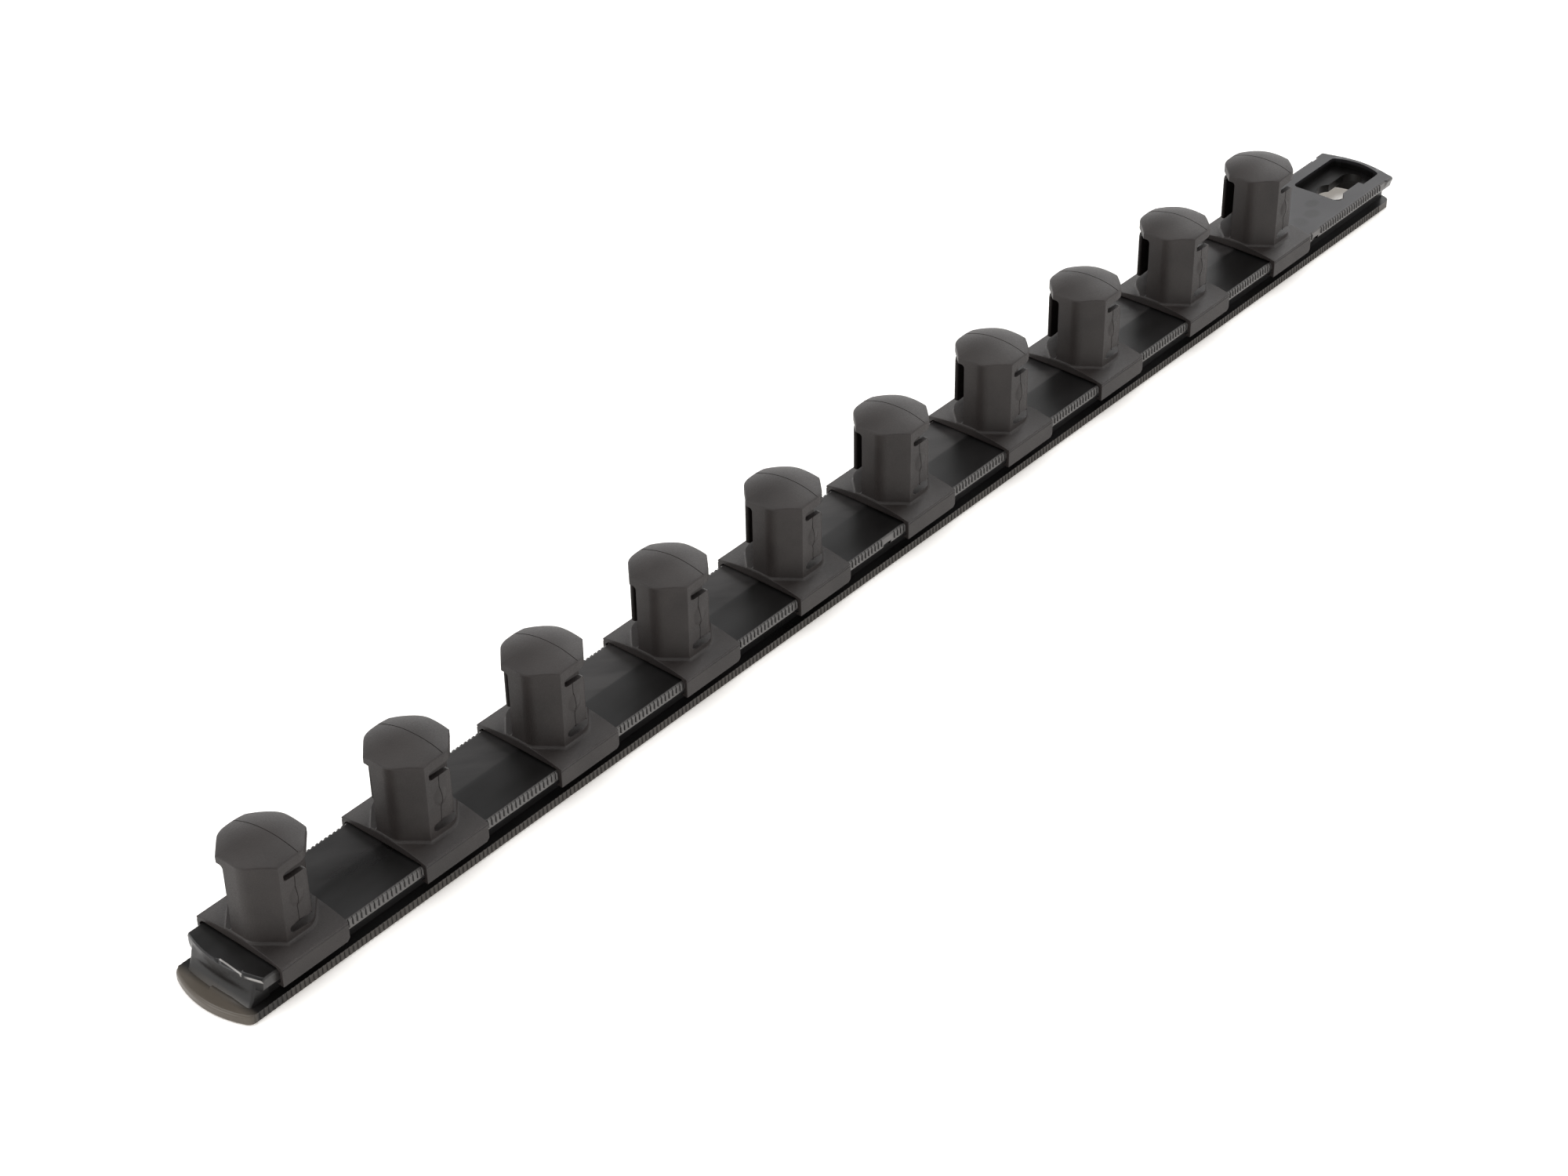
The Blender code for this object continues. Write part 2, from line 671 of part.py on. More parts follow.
def skirt_chamfer_mesh():
    """A wedge that takes the lower corner off both skirts at the saddle's +X end."""
    end = SADDLE_LENGTH / 2
    corner = [
        (end - SKIRT_CHAMFER, SKIRT_BOTTOM - CUT_OVERRUN),
        (end + CUT_OVERRUN, SKIRT_BOTTOM - CUT_OVERRUN),
        (end + CUT_OVERRUN, SKIRT_BOTTOM + SKIRT_CHAMFER + CUT_OVERRUN),
        (end - SKIRT_CHAMFER, SKIRT_BOTTOM),
    ]
    reach = SADDLE_OUTER_HALF + CUT_OVERRUN
    return along_y("skirt_chamfer", corner, -reach, reach)


def clip_mesh():
    """One clip in its own frame: x = 0 and y = 0 on the post's axis, z = 0 under the rail's foot."""
    half = SADDLE_LENGTH / 2
    clip = add_object("clip", along_x("saddle", saddle_outline(), -half, half))
    combine(clip, post_mesh(), "UNION")
    combine(clip, skirt_chamfer_mesh(), "DIFFERENCE")
    for side in (1, -1):
        combine(clip, core_mesh(side), "DIFFERENCE")
        combine(clip, bump_mesh(side), "UNION")
    mesh = clip.data
    mesh.name = "socket_clip"
    bpy.data.objects.remove(clip, do_unlink=True)
    return mesh


def make_clips(material):
    shared = clip_mesh()
    for number in range(CLIP_COUNT):
        slide = CLIP_SLIDES[number] if number < len(CLIP_SLIDES) else 0
        clip = add_object(f"socket_clip_{number + 1:02d}", shared)
        clip.location.x = NEAR_END + FIRST_CLIP_FROM_NEAR_END + CLIP_PITCH * number + slide
    finish(clip, material, math.radians(28))


def main():
    clear_scene()
    make_rail(plastic("rail_plastic", RAIL_COLOUR, RAIL_ROUGHNESS))
    make_clips(plastic("clip_plastic", CLIP_COLOUR, CLIP_ROUGHNESS))


main()
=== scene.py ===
# %% [markdown]
# # A socket rail with ten sliding clips
#
# The object is two kinds of moulding. One long black rail has a flat foot, a web and a deck with ribbed
# edges. Ten dark grey clips hook over the deck and slide along it, and each carries an eight-sided post
# that a socket is pushed on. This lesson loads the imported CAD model, models finer mouldings in the same
# places, gives them plastic finishes, and sets up a small photo studio round them.

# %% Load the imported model
import math

import bmesh
import bpy
from mathutils import Matrix, Vector


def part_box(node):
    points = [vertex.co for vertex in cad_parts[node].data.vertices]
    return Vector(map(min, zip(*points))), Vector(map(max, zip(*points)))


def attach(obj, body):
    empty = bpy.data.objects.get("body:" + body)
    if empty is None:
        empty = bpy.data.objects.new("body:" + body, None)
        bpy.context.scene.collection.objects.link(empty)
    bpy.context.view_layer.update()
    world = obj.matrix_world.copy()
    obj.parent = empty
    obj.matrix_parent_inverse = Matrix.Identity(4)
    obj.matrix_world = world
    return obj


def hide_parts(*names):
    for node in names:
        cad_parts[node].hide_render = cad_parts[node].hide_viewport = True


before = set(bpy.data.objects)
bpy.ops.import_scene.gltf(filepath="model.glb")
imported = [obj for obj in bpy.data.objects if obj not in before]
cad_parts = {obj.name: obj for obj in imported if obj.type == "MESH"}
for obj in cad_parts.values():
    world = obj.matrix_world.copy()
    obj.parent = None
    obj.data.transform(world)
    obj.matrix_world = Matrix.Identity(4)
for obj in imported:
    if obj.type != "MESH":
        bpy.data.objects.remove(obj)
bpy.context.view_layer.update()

# %% [markdown]
# ## Where everything is
#
# The rail's ends, its top and the clips' places are read from the CAD nodes' boxes, so the fine models
# land where the solids are. Lengths are in metres. The remaining sizes are those of the mouldings'
# sections, which a box can't tell.

# %% Places read from the frame
CLIP_NODES = sorted(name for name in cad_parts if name.startswith("socket_clip"))
RAIL_LOW, RAIL_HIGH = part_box("rail")
NEAR_END = RAIL_LOW.x
FAR_END = RAIL_HIGH.x
DECK_RIDGE_HEIGHT = RAIL_HIGH.z
FIRST_LOW, FIRST_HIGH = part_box(CLIP_NODES[0])
SADDLE_LENGTH = FIRST_HIGH.x - FIRST_LOW.x
SADDLE_OUTER_HALF = FIRST_HIGH.y
SKIRT_BOTTOM = FIRST_LOW.z
SEAM_RISE = 0.00004
HEAD_TOP_HEIGHT = FIRST_HIGH.z - SEAM_RISE


def mm(metres):
    """A length in millimetres, for printing."""
    return round(metres * 1000, 2)


print(len(CLIP_NODES), "clips on a rail", mm(FAR_END - NEAR_END), "mm long")

# %% [markdown]
# ## The photo's camera
#
# The picture is taken from above the near end with a short telephoto lens. The place and the three
# angles below were worked out from the rail's straight edges. The camera looks along heading and pitch,
# and the roll turns the picture a little round its middle.

# %% Camera
SENSOR_WIDTH_MM = 36.0
LENS_MM = 71.738
CAMERA_PLACE = (-0.342975, -0.271983, 0.301222)
CAMERA_HEADING = math.radians(40.63528)
CAMERA_PITCH = math.radians(35.63987)
CAMERA_ROLL = math.radians(-1.02689)
NEAREST_SEEN = 0.01
FARTHEST_SEEN = 50.0


def make_camera():
    data = bpy.data.cameras.new("photo_camera")
    data.sensor_width = SENSOR_WIDTH_MM
    data.lens = LENS_MM
    data.clip_start = NEAREST_SEEN
    data.clip_end = FARTHEST_SEEN
    camera = bpy.data.objects.new("photo_camera", data)
    bpy.context.collection.objects.link(camera)
    forward = Vector((
        math.cos(CAMERA_PITCH) * math.cos(CAMERA_HEADING),
        math.cos(CAMERA_PITCH) * math.sin(CAMERA_HEADING),
        -math.sin(CAMERA_PITCH)))
    level = Vector((math.sin(CAMERA_HEADING), -math.cos(CAMERA_HEADING), 0))
    above = level.cross(forward)
    right = level * math.cos(CAMERA_ROLL) + above * math.sin(CAMERA_ROLL)
    up = right.cross(forward)
    turn = Matrix((right, up, -forward)).transposed()
    camera.matrix_world = Matrix.Translation(CAMERA_PLACE) @ turn.to_4x4()
    bpy.context.scene.camera = camera
    return camera


camera = make_camera()
print("camera at", tuple(camera.location))

# %% [markdown]
# ## Node trees
#
# The finishes are shader nodes, and the ribs and parting lines are Geometry Nodes. The same few helpers
# build both. A node's inputs are given as a dictionary: a socket in it gets linked, and a plain value gets
# set. A group's sockets take their types from their defaults.


# %% Helpers for node trees
def fill(tree, node, inputs):
    """Feed a node's inputs, by name or by number, with sockets or with plain values."""
    for label, value in inputs.items():
        if isinstance(value, bpy.types.NodeSocket):
            tree.links.new(value, node.inputs[label])
        else:
            node.inputs[label].default_value = value
    return node


def add_node(tree, kind, inputs=None, **settings):
    """Add a node. Its settings come first, because they decide which inputs it shows."""
    node = tree.nodes.new(kind)
    for label, value in settings.items():
        setattr(node, label, value)
    return fill(tree, node, inputs or {})


SOCKET_TYPES = {float: "NodeSocketFloat", tuple: "NodeSocketVector", type(None): "NodeSocketGeometry"}


def new_group(name, kind, inputs, outputs):
    """A node group with named sockets and their defaults; a default of None stands for geometry."""
    group = bpy.data.node_groups.new(name, kind)
    identifiers = {}
    for in_out, sockets in (("INPUT", inputs), ("OUTPUT", outputs)):
        for label, default in sockets.items():
            socket_type = SOCKET_TYPES[type(default)]
            socket = group.interface.new_socket(label, in_out=in_out, socket_type=socket_type)
            if default is not None:
                socket.default_value = default
            identifiers[label] = socket.identifier
    given = group.nodes.new("NodeGroupInput").outputs
    result = group.nodes.new("NodeGroupOutput")
    return group, given, result, identifiers


# %% Small calculations in a tree
def math_node(tree, operation, *values):
    """A Math node on sockets or numbers."""
    return add_node(tree, "ShaderNodeMath", dict(enumerate(values)), operation=operation).outputs[0]


def product(tree, mask, *others):
    """Several masks multiplied."""
    for other in others:
        mask = math_node(tree, "MULTIPLY", mask, other)
    return mask


def split_node(tree, vector):
    """The X, Y and Z of a vector."""
    return add_node(tree, "ShaderNodeSeparateXYZ", {0: vector}).outputs


def join_node(tree, x, y, z):
    """A vector from its X, Y and Z."""
    return add_node(tree, "ShaderNodeCombineXYZ", {0: x, 1: y, 2: z}).outputs[0]


def noise_node(tree, vector, scale, detail, roughness=0.5):
    """Soft noise between 0 and 1; the scale is in cells per metre."""
    values = {"Vector": vector, "Scale": scale, "Detail": detail, "Roughness": roughness}
    return add_node(tree, "ShaderNodeTexNoise", values).outputs["Fac"]


# %% [markdown]
# ## Plastic finishes
#
# Both mouldings are black plastics, and black plastic shows almost only its surface: the grain, the flow
# of the melt and the parting lines. Two node groups hold the grain and the flow, so that each material
# places them with its own values. They put out masks and heights only, and the Principled BSDF stays in
# the material. All patterns use Object coordinates in metres.

# %% Moulded grain: the fine texture of the mould's surface
def make_grain_group():
    group, given, result, _ = new_group(
        "moulded_grain", "ShaderNodeTree",
        {"Vector": (0.0, 0.0, 0.0), "Grain Scale": 5200.0, "Cloud Scale": 90.0},
        {"Height": 0.0, "Cloud": 0.0})
    grain = noise_node(group, given["Vector"], given["Grain Scale"], detail=2.0, roughness=0.6)
    cloud = noise_node(group, given["Vector"], given["Cloud Scale"], detail=3.0)
    fill(group, result, {"Height": grain, "Cloud": cloud})
    return group


# %% Streaks and waves: streaks that run with the melt along the part, and slow waves; the same streaks lay out the deck's painted reflection patches
def make_flow_group():
    group, given, result, _ = new_group(
        "streak_and_wave_noise", "ShaderNodeTree",
        {"Vector": (0.0, 0.0, 0.0), "Stretch": 0.25, "Scale": 120.0},
        {"Streak": 0.0, "Wave": 0.0})
    x, y, z = split_node(group, given["Vector"])
    stretched = join_node(group, math_node(group, "MULTIPLY", x, given["Stretch"]), y, z)
    streak = noise_node(group, stretched, given["Scale"], detail=4.0, roughness=0.55)
    wave = noise_node(group, given["Vector"], given["Scale"], detail=0.0)
    fill(group, result, {"Streak": streak, "Wave": wave})
    return group


grain_group = make_grain_group()
streak_group = make_flow_group()
print("node groups:", grain_group.name, "and", streak_group.name)

# %% Helpers for materials
FALLING = (1.0, 0.0)


def start_material(name):
    """A Principled material, with its Object coordinates at hand."""
    material = bpy.data.materials.new(name)
    material.use_nodes = True
    tree = material.node_tree
    place = add_node(tree, "ShaderNodeTexCoord").outputs["Object"]
    return material, tree, tree.nodes["Principled BSDF"], place


def use_group(tree, group, vector, values):
    """Place a node group with its own values; returns its outputs."""
    return add_node(tree, "ShaderNodeGroup", {"Vector": vector, **values}, node_tree=group).outputs


def remap(tree, value, limits, result=(0.0, 1.0)):
    """Map what lies between two limits to a result between two others, and hold it there."""
    values = {"Value": value, "From Min": limits[0], "From Max": limits[1],
              "To Min": result[0], "To Max": result[1]}
    return add_node(tree, "ShaderNodeMapRange", values).outputs["Result"]


def opaque(colour):
    """A plain colour with its alpha added; a socket stays as it is."""
    return (*colour, 1.0) if isinstance(colour, tuple) else colour


def mix_colours(tree, factor, below, above):
    """Lay one colour over another where the factor is 1."""
    values = {"Factor": factor, "A": opaque(below), "B": opaque(above)}
    return add_node(tree, "ShaderNodeMix", values, data_type="RGBA").outputs["Result"]


def bump(tree, height, distance, strength, normal=None):
    """The normal of a height, on top of another Bump node's normal if one is given."""
    values = {"Height": height, "Distance": distance, "Strength": strength}
    if normal is not None:
        values["Normal"] = normal
    return add_node(tree, "ShaderNodeBump", values).outputs["Normal"]


# %% [markdown]
# ### Clip plastic
#
# The clips are a matte dark grey with a fine even grain. Seen close, the grey drifts a little where the
# melt cooled at different speeds.

# %% Clip plastic
CLIP_DARK = (0.0110, 0.0084, 0.0077)
CLIP_LIGHT = (0.0168, 0.0134, 0.0123)
CLIP_SPECULAR = 0.32
CLIP_ROUGHNESS = (0.46, 0.58)
CLIP_GRAIN_DEPTH = 0.00004
CLIP_GRAIN_STRENGTH = 0.35
CLOUD_LIMITS = (0.35, 0.65)
GRAIN_LIMITS = (0.3, 0.7)


def make_clip_plastic():
    material, tree, shader, place = start_material("clip_plastic")
    grain = use_group(tree, grain_group, place, {"Grain Scale": 4600.0, "Cloud Scale": 150.0})
    cloud = remap(tree, grain["Cloud"], CLOUD_LIMITS)
    fill(tree, shader, {
        "Base Color": mix_colours(tree, cloud, CLIP_DARK, CLIP_LIGHT),
        "Roughness": remap(tree, grain["Height"], GRAIN_LIMITS, CLIP_ROUGHNESS),
        "Specular IOR Level": CLIP_SPECULAR,
        "Normal": bump(tree, grain["Height"], CLIP_GRAIN_DEPTH, CLIP_GRAIN_STRENGTH)})
    return material


clip_plastic = make_clip_plastic()
print("material:", clip_plastic.name)

# %% [markdown]
# ### The far half of the deck
#
# The far half of the deck is painted a lighter grey in soft streaky patches. This is painted reflection:
# it stands in for the lighter part of the room that this half of the deck mirrors. The patches grow
# stronger away from the near end, and they give way to an even grey with a few dark flow marks just before
# the hanging pocket. A turned and stretched noise makes the patches, and a soft oval makes each mark.

# %% Painted reflection patches and flow marks on the deck
# painted reflection: the two greys of the streaky patches on the far half of the deck
REFLECTION_PATCH_DARK = (0.0110, 0.0100, 0.0100)
REFLECTION_PATCH_LIGHT = (0.0270, 0.0250, 0.0245)
FAR_GREY = (0.0160, 0.0150, 0.0165)
MARK_GREY = (0.0060, 0.0056, 0.0060)
PATCH_TURN = math.radians(35)
PATCH_LIMITS = (0.40, 0.60)
# a pair named after an axis says between which two places, in metres, a mask rises or falls
FAR_HALF_Y = (0.0, 0.0004)
PATCHES_BEGIN_X = (-0.147, -0.140)
PATCHES_GROW_X = (-0.13, -0.07)
EVEN_GREY_X = (0.110, 0.116)
FAINT_TO_FULL = (0.35, 1.0)
SPOT_EDGE = (0.4, 1.3)
# centre and half sizes of the marks, (x, y)
FLOW_MARKS = (
    ((0.1283, -0.0038), (0.0019, 0.0015)),
    ((0.1242, -0.0038), (0.0016, 0.0017)),
    ((0.1317, -0.0016), (0.0018, 0.0012)),
)


def spot_mask(tree, place, centre, half_sizes):
    """1 inside a soft oval seen from above."""
    squares = []
    for axis, middle, half in zip(split_node(tree, place), centre, half_sizes):
        offset = math_node(tree, "DIVIDE", math_node(tree, "SUBTRACT", axis, middle), half)
        squares.append(math_node(tree, "MULTIPLY", offset, offset))
    return remap(tree, math_node(tree, "ADD", *squares), SPOT_EDGE, FALLING)


def deck_colour(tree, place, base):
    x, y, _ = split_node(tree, place)
    # painted reflection: the +Y half of the deck is painted lighter in streaky patches, fading in from the
    # near end
    turned = add_node(tree, "ShaderNodeMapping", {"Vector": place, "Rotation": (0.0, 0.0, PATCH_TURN)})
    streak_noise = use_group(tree, streak_group, turned.outputs["Vector"], {"Stretch": 0.25, "Scale": 150.0})
    patches = mix_colours(tree, remap(tree, streak_noise["Streak"], PATCH_LIMITS), REFLECTION_PATCH_DARK, REFLECTION_PATCH_LIGHT)
    where = product(tree, remap(tree, y, FAR_HALF_Y), remap(tree, x, PATCHES_BEGIN_X),
                    remap(tree, x, PATCHES_GROW_X, FAINT_TO_FULL))
    colour = mix_colours(tree, where, base, patches)
    colour = mix_colours(tree, remap(tree, x, EVEN_GREY_X), colour, FAR_GREY)
    for centre, half_sizes in FLOW_MARKS:
        colour = mix_colours(tree, spot_mask(tree, place, centre, half_sizes), colour, MARK_GREY)
    return colour


# %% [markdown]
# ### Painted light on the rail's sides and near end
#
# The upright faces of lips and foot are painted a lighter grey than the deck, most of all where the
# ribs stand, and so is the near end of the foot, in a warmer grey: painted light, which stands in for
# the light that falls on these faces. Two thin strips of the near bevel are painted pale, as a painted
# highlight. Each of these places is a mask from the Object coordinates, and the colours are laid over
# the rail's base one after the other.

# %% Painted side light and painted highlight strips
# painted light: lighter greys for the upright faces of lips and foot, and for the near end of the foot
LIP_PAINTED_LIGHT = (0.0780, 0.0740, 0.0710)
FOOT_PAINTED_LIGHT = (0.0340, 0.0290, 0.0245)
NEAR_FOOT_PAINTED_LIGHT = (0.0700, 0.0590, 0.0470)
# painted highlight: the pale grey of two strips on the near bevel
PAINTED_HIGHLIGHT_GREY = (0.25, 0.24, 0.23)
DECK_TOP_Z = (0.0056, 0.0059)
SIDE_FACING = (0.5, 0.8)
OUTER_FACE_Y = (0.0073, 0.0075)
LIPS_Z = (0.0030, 0.0034)
RIBS_BEGIN_X = (-0.1450, -0.1430)
NEAR_FOOT_X = (-0.1505, -0.1490)
NEAR_FOOT_Z = (0.0022, 0.0026)
# painted highlight strips on the near bevel, from (x, y) to (x, y)
PAINTED_HIGHLIGHT_STRIPS = (
    ((-0.14834, 0.0), (-0.14836, -0.0045)),
    ((-0.14870, -0.0042), (-0.14730, -0.0085)),
)
HIGHLIGHT_HALF_WIDTH = 0.00014
HIGHLIGHT_Z = (0.0056, 0.0058)


def strip_mask(tree, x, y, start, end):
    """1 along a thin straight strip, seen from above, that runs towards -Y from start to end."""
    slope = (end[0] - start[0]) / (end[1] - start[1])
    middle = math_node(tree, "MULTIPLY_ADD", math_node(tree, "SUBTRACT", y, start[1]), slope, start[0])
    distance = math_node(tree, "ABSOLUTE", math_node(tree, "SUBTRACT", x, middle))
    thin = remap(tree, distance, (HIGHLIGHT_HALF_WIDTH / 2, HIGHLIGHT_HALF_WIDTH), FALLING)
    return product(tree, thin, math_node(tree, "LESS_THAN", y, start[1]),
                   math_node(tree, "GREATER_THAN", y, end[1]))


def rail_colour(tree, place, base):
    """Lay the colours of the rail's places over its base, with its painted light and painted highlights.
    """
    x, y, z = split_node(tree, place)
    facing = split_node(tree, place.node.outputs["Normal"])
    colour = mix_colours(tree, remap(tree, z, DECK_TOP_Z), base, deck_colour(tree, place, base))
    upright_face = remap(tree, math_node(tree, "ABSOLUTE", facing["Y"]), SIDE_FACING)
    # painted light: the upright outer faces are painted lighter, fainter at the near end
    outer_face = remap(tree, math_node(tree, "ABSOLUTE", y), OUTER_FACE_Y)
    painted_side_light = product(tree, upright_face, outer_face, remap(tree, x, RIBS_BEGIN_X, FAINT_TO_FULL))
    grey = mix_colours(tree, remap(tree, z, LIPS_Z), FOOT_PAINTED_LIGHT, LIP_PAINTED_LIGHT)
    colour = mix_colours(tree, painted_side_light, colour, grey)
    # painted highlight: two thin pale strips on the near bevel
    for start, end in PAINTED_HIGHLIGHT_STRIPS:
        painted_highlight = product(tree, strip_mask(tree, x, y, start, end), remap(tree, z, HIGHLIGHT_Z))
        colour = mix_colours(tree, painted_highlight, colour, PAINTED_HIGHLIGHT_GREY)
    # painted light: the near end of the foot is painted a lighter, warm grey
    near_foot = product(tree, remap(tree, x, NEAR_FOOT_X, FALLING), remap(tree, z, NEAR_FOOT_Z, FALLING))
    return mix_colours(tree, near_foot, colour, NEAR_FOOT_PAINTED_LIGHT)


# %% [markdown]
# ### Rail plastic
#
# The rail is nearly black and smoother than the clips, so it mirrors the room softly. Its long flat faces
# are never quite flat: slow waves bend the reflections, and streaks of slightly different gloss follow the
# melt. The walls of its small hollows came out rougher and hardly shine, so they get the same plastic with
# a weaker reflection.

# %% Rail plastic
RAIL_DARK = (0.0030, 0.0027, 0.0026)
RAIL_LIGHT = (0.0060, 0.0055, 0.0055)
RAIL_SPECULAR = 0.30
HOLLOW_SPECULAR = 0.10
RAIL_ROUGHNESS = (0.26, 0.40)
STREAK_LIMITS = (0.35, 0.65)
GLOSS_LIMITS = (0.3, 0.7)
WAVE_DEPTH = 0.0004
WAVE_STRENGTH = 0.35
RAIL_GRAIN_DEPTH = 0.00002
RAIL_GRAIN_STRENGTH = 0.2


def make_rail_plastic(name, specular):
    material, tree, shader, place = start_material(name)
    streak_noise = use_group(tree, streak_group, place, {"Stretch": 0.35, "Scale": 110.0})
    grain = use_group(tree, grain_group, place, {"Grain Scale": 3800.0, "Cloud Scale": 60.0})
    base = mix_colours(tree, remap(tree, streak_noise["Streak"], STREAK_LIMITS), RAIL_DARK, RAIL_LIGHT)
    waves = bump(tree, streak_noise["Wave"], WAVE_DEPTH, WAVE_STRENGTH)
    fill(tree, shader, {
        "Base Color": rail_colour(tree, place, base),
        "Roughness": remap(tree, streak_noise["Streak"], GLOSS_LIMITS, RAIL_ROUGHNESS),
        "Specular IOR Level": specular,
        "Normal": bump(tree, grain["Height"], RAIL_GRAIN_DEPTH, RAIL_GRAIN_STRENGTH, waves)})
    return material


rail_plastic = make_rail_plastic("rail_plastic", RAIL_SPECULAR)
hollow_plastic = make_rail_plastic("rail_plastic_in_hollows", HOLLOW_SPECULAR)
print("materials:", rail_plastic.name, "and", hollow_plastic.name)

# %% [markdown]
# ## Small tools for outlines and lofts
#
# Mouldings are easy to describe by their sections. An outline is a list of points with some corners
# rounded, and a loft joins a row of such outlines into one closed body. Every curve has enough steps to
# look round in a close view.


# %% Points and steps
def unit(start, end):
    length = math.dist(start, end)
    return ((end[0] - start[0]) / length, (end[1] - start[1]) / length)


def move(point, direction, distance):
    return (point[0] + direction[0] * distance, point[1] + direction[1] * distance)


def between(start, end, share):
    return start + (end - start) * share


def spread(start, end, steps):
    return [between(start, end, step / steps) for step in range(steps + 1)]


def quarter(steps, start=0):
    """Steps round a quarter circle, in pairs: one falls from 1 to 0 while the other rises from 0 to 1."""
    return [(1 - math.sin(angle), 1 - math.cos(angle)) for angle in spread(start, math.pi / 2, steps)]


# %% Rounded outlines
CORNER_STEPS = 6


def rounded(outline, radii):
    """An outline in which the corners that have a radius are replaced by arcs."""
    result = []
    for index, corner in enumerate(outline):
        if index not in radii:
            result.append(corner)
            continue
        radius = radii[index]
        to_before = unit(corner, outline[index - 1])
        to_after = unit(corner, outline[(index + 1) % len(outline)])
        half_angle = math.acos(to_before[0] * to_after[0] + to_before[1] * to_after[1]) / 2
        bisector = unit((0, 0), (to_before[0] + to_after[0], to_before[1] + to_after[1]))
        centre = move(corner, bisector, radius / math.sin(half_angle))
        first = move(corner, to_before, radius / math.tan(half_angle))
        last = move(corner, to_after, radius / math.tan(half_angle))
        start = math.atan2(first[1] - centre[1], first[0] - centre[0])
        turn = math.atan2(last[1] - centre[1], last[0] - centre[0]) - start
        turn = (turn + math.pi) % (2 * math.pi) - math.pi
        for step in range(CORNER_STEPS + 1):
            angle = start + turn * step / CORNER_STEPS
            result.append((centre[0] + radius * math.cos(angle), centre[1] + radius * math.sin(angle)))
    return result


# %% Closed bodies
def mesh_from(name, points, faces):
    body = bmesh.new()
    corners = [body.verts.new(point) for point in points]
    for face in faces:
        body.faces.new([corners[index] for index in face])
    bmesh.ops.recalc_face_normals(body, faces=body.faces)
    mesh = bpy.data.meshes.new(name)
    body.to_mesh(mesh)
    body.free()
    return mesh


def loft(name, rings, apex=None, columns=None):
    """Rings of equally many points joined in order; the ends are one face, a fan or paired strips."""
    count = len(rings[0])
    points = [point for ring in rings for point in ring]
    faces = []
    for level in range(len(rings) - 1):
        for index in range(count):
            after = (index + 1) % count
            low = level * count
            faces.append((low + index, low + after, low + count + after, low + count + index))
    top = (len(rings) - 1) * count
    if columns is not None:
        for start in (0, top):
            for index in range(columns - 1):
                opposite = count - 1 - index
                faces.append((start + index, start + index + 1, start + opposite - 1, start + opposite))
        return mesh_from(name, points, faces)
    faces.append(tuple(range(count)))
    if apex is None:
        faces.append(tuple(range(top, top + count)))
    else:
        points.append(apex)
        for index in range(count):
            faces.append((top + index, top + (index + 1) % count, len(points) - 1))
    return mesh_from(name, points, faces)


# %% Upright bodies
def at_height(outline, height):
    return [(x, y, height) for x, y in outline]


def upright(name, outline, bottom, top):
    return loft(name, [at_height(outline, bottom), at_height(outline, top)])


# %% Smooth rows and paths
def smooth_rows(rows, steps):
    """More rows of numbers on a smooth curve through the given ones."""
    result = []
    for index in range(len(rows) - 1):
        before = rows[max(index - 1, 0)]
        after = rows[min(index + 2, len(rows) - 1)]
        for step in range(steps):
            share = step / steps
            row = []
            for start, end, low, high in zip(rows[index], rows[index + 1], before, after):
                leave = (end - low) / 2
                reach = (high - start) / 2
                cube = 2 * share ** 3 - 3 * share ** 2
                row.append(start * (cube + 1) - end * cube
                           + leave * (share ** 3 - 2 * share ** 2 + share)
                           + reach * (share ** 3 - share ** 2))
            result.append(tuple(row))
    return result + [rows[-1]]


def path_mesh(name, chains, wander=None):
    """Open rows of points joined by edges; each point may carry how far a line may wander there."""
    points = []
    edges = []
    for chain in chains:
        edges += [(len(points) + step, len(points) + step + 1) for step in range(len(chain) - 1)]
        points += chain
    mesh = bpy.data.meshes.new(name)
    mesh.from_pydata(points, edges, [])
    if wander is not None:
        allowance = mesh.attributes.new("wander", "FLOAT", "POINT")
        allowance.data.foreach_set("value", wander)
    return mesh


def add_object(name, mesh):
    item = bpy.data.objects.new(name, mesh)
    bpy.context.collection.objects.link(item)
    return item


# %% [markdown]
# ### Joining and cutting
#
# Booleans join the bodies and cut their hollows, and the exact solver copes with faces that touch. Each
# step is baked at once: the modifier's result becomes the mesh, so that a finished piece carries no
# modifiers. The shading is smooth with its sharp edges kept, and the normals follow the larger faces.

# %% Joining, cutting and softening edges
def bake(item):
    """Replace an object's modifiers by the mesh that they give."""
    graph = bpy.context.evaluated_depsgraph_get()
    baked = bpy.data.meshes.new_from_object(item.evaluated_get(graph))
    old = item.data
    item.modifiers.clear()
    item.data = baked
    bpy.data.meshes.remove(old)


def combine(base, mesh, operation):
    """Cut a helper body from the base, or join it on."""
    helper = add_object("helper", mesh)
    helper.hide_render = True
    step = base.modifiers.new("step", "BOOLEAN")
    step.operation = operation
    step.solver = "EXACT"
    step.object = helper
    bake(base)
    bpy.data.objects.remove(helper, do_unlink=True)
    bpy.data.meshes.remove(mesh)


EDGE_SEGMENTS = 2


def softened(name, mesh, width, angle=30.0):
    """A copy of a clean closed mesh whose edges sharper than the angle are rounded a little."""
    item = add_object(name, mesh)
    edges = item.modifiers.new("edges", "BEVEL")
    edges.width = width
    edges.segments = EDGE_SEGMENTS
    edges.limit_method = "ANGLE"
    edges.angle_limit = math.radians(angle)
    bake(item)
    result = item.data
    bpy.data.objects.remove(item, do_unlink=True)
    return result


SHARP_ANGLE = math.radians(32)


def shade(item, material):
    """Smooth shading whose normals follow the larger faces, so that flat faces look flat."""
    item.data.materials.clear()
    item.data.materials.append(material)
    item.data.shade_smooth()
    item.data.set_sharp_from_angle(angle=SHARP_ANGLE)
    normals = item.modifiers.new("normals", "WEIGHTED_NORMAL")
    normals.keep_sharp = True
    bake(item)


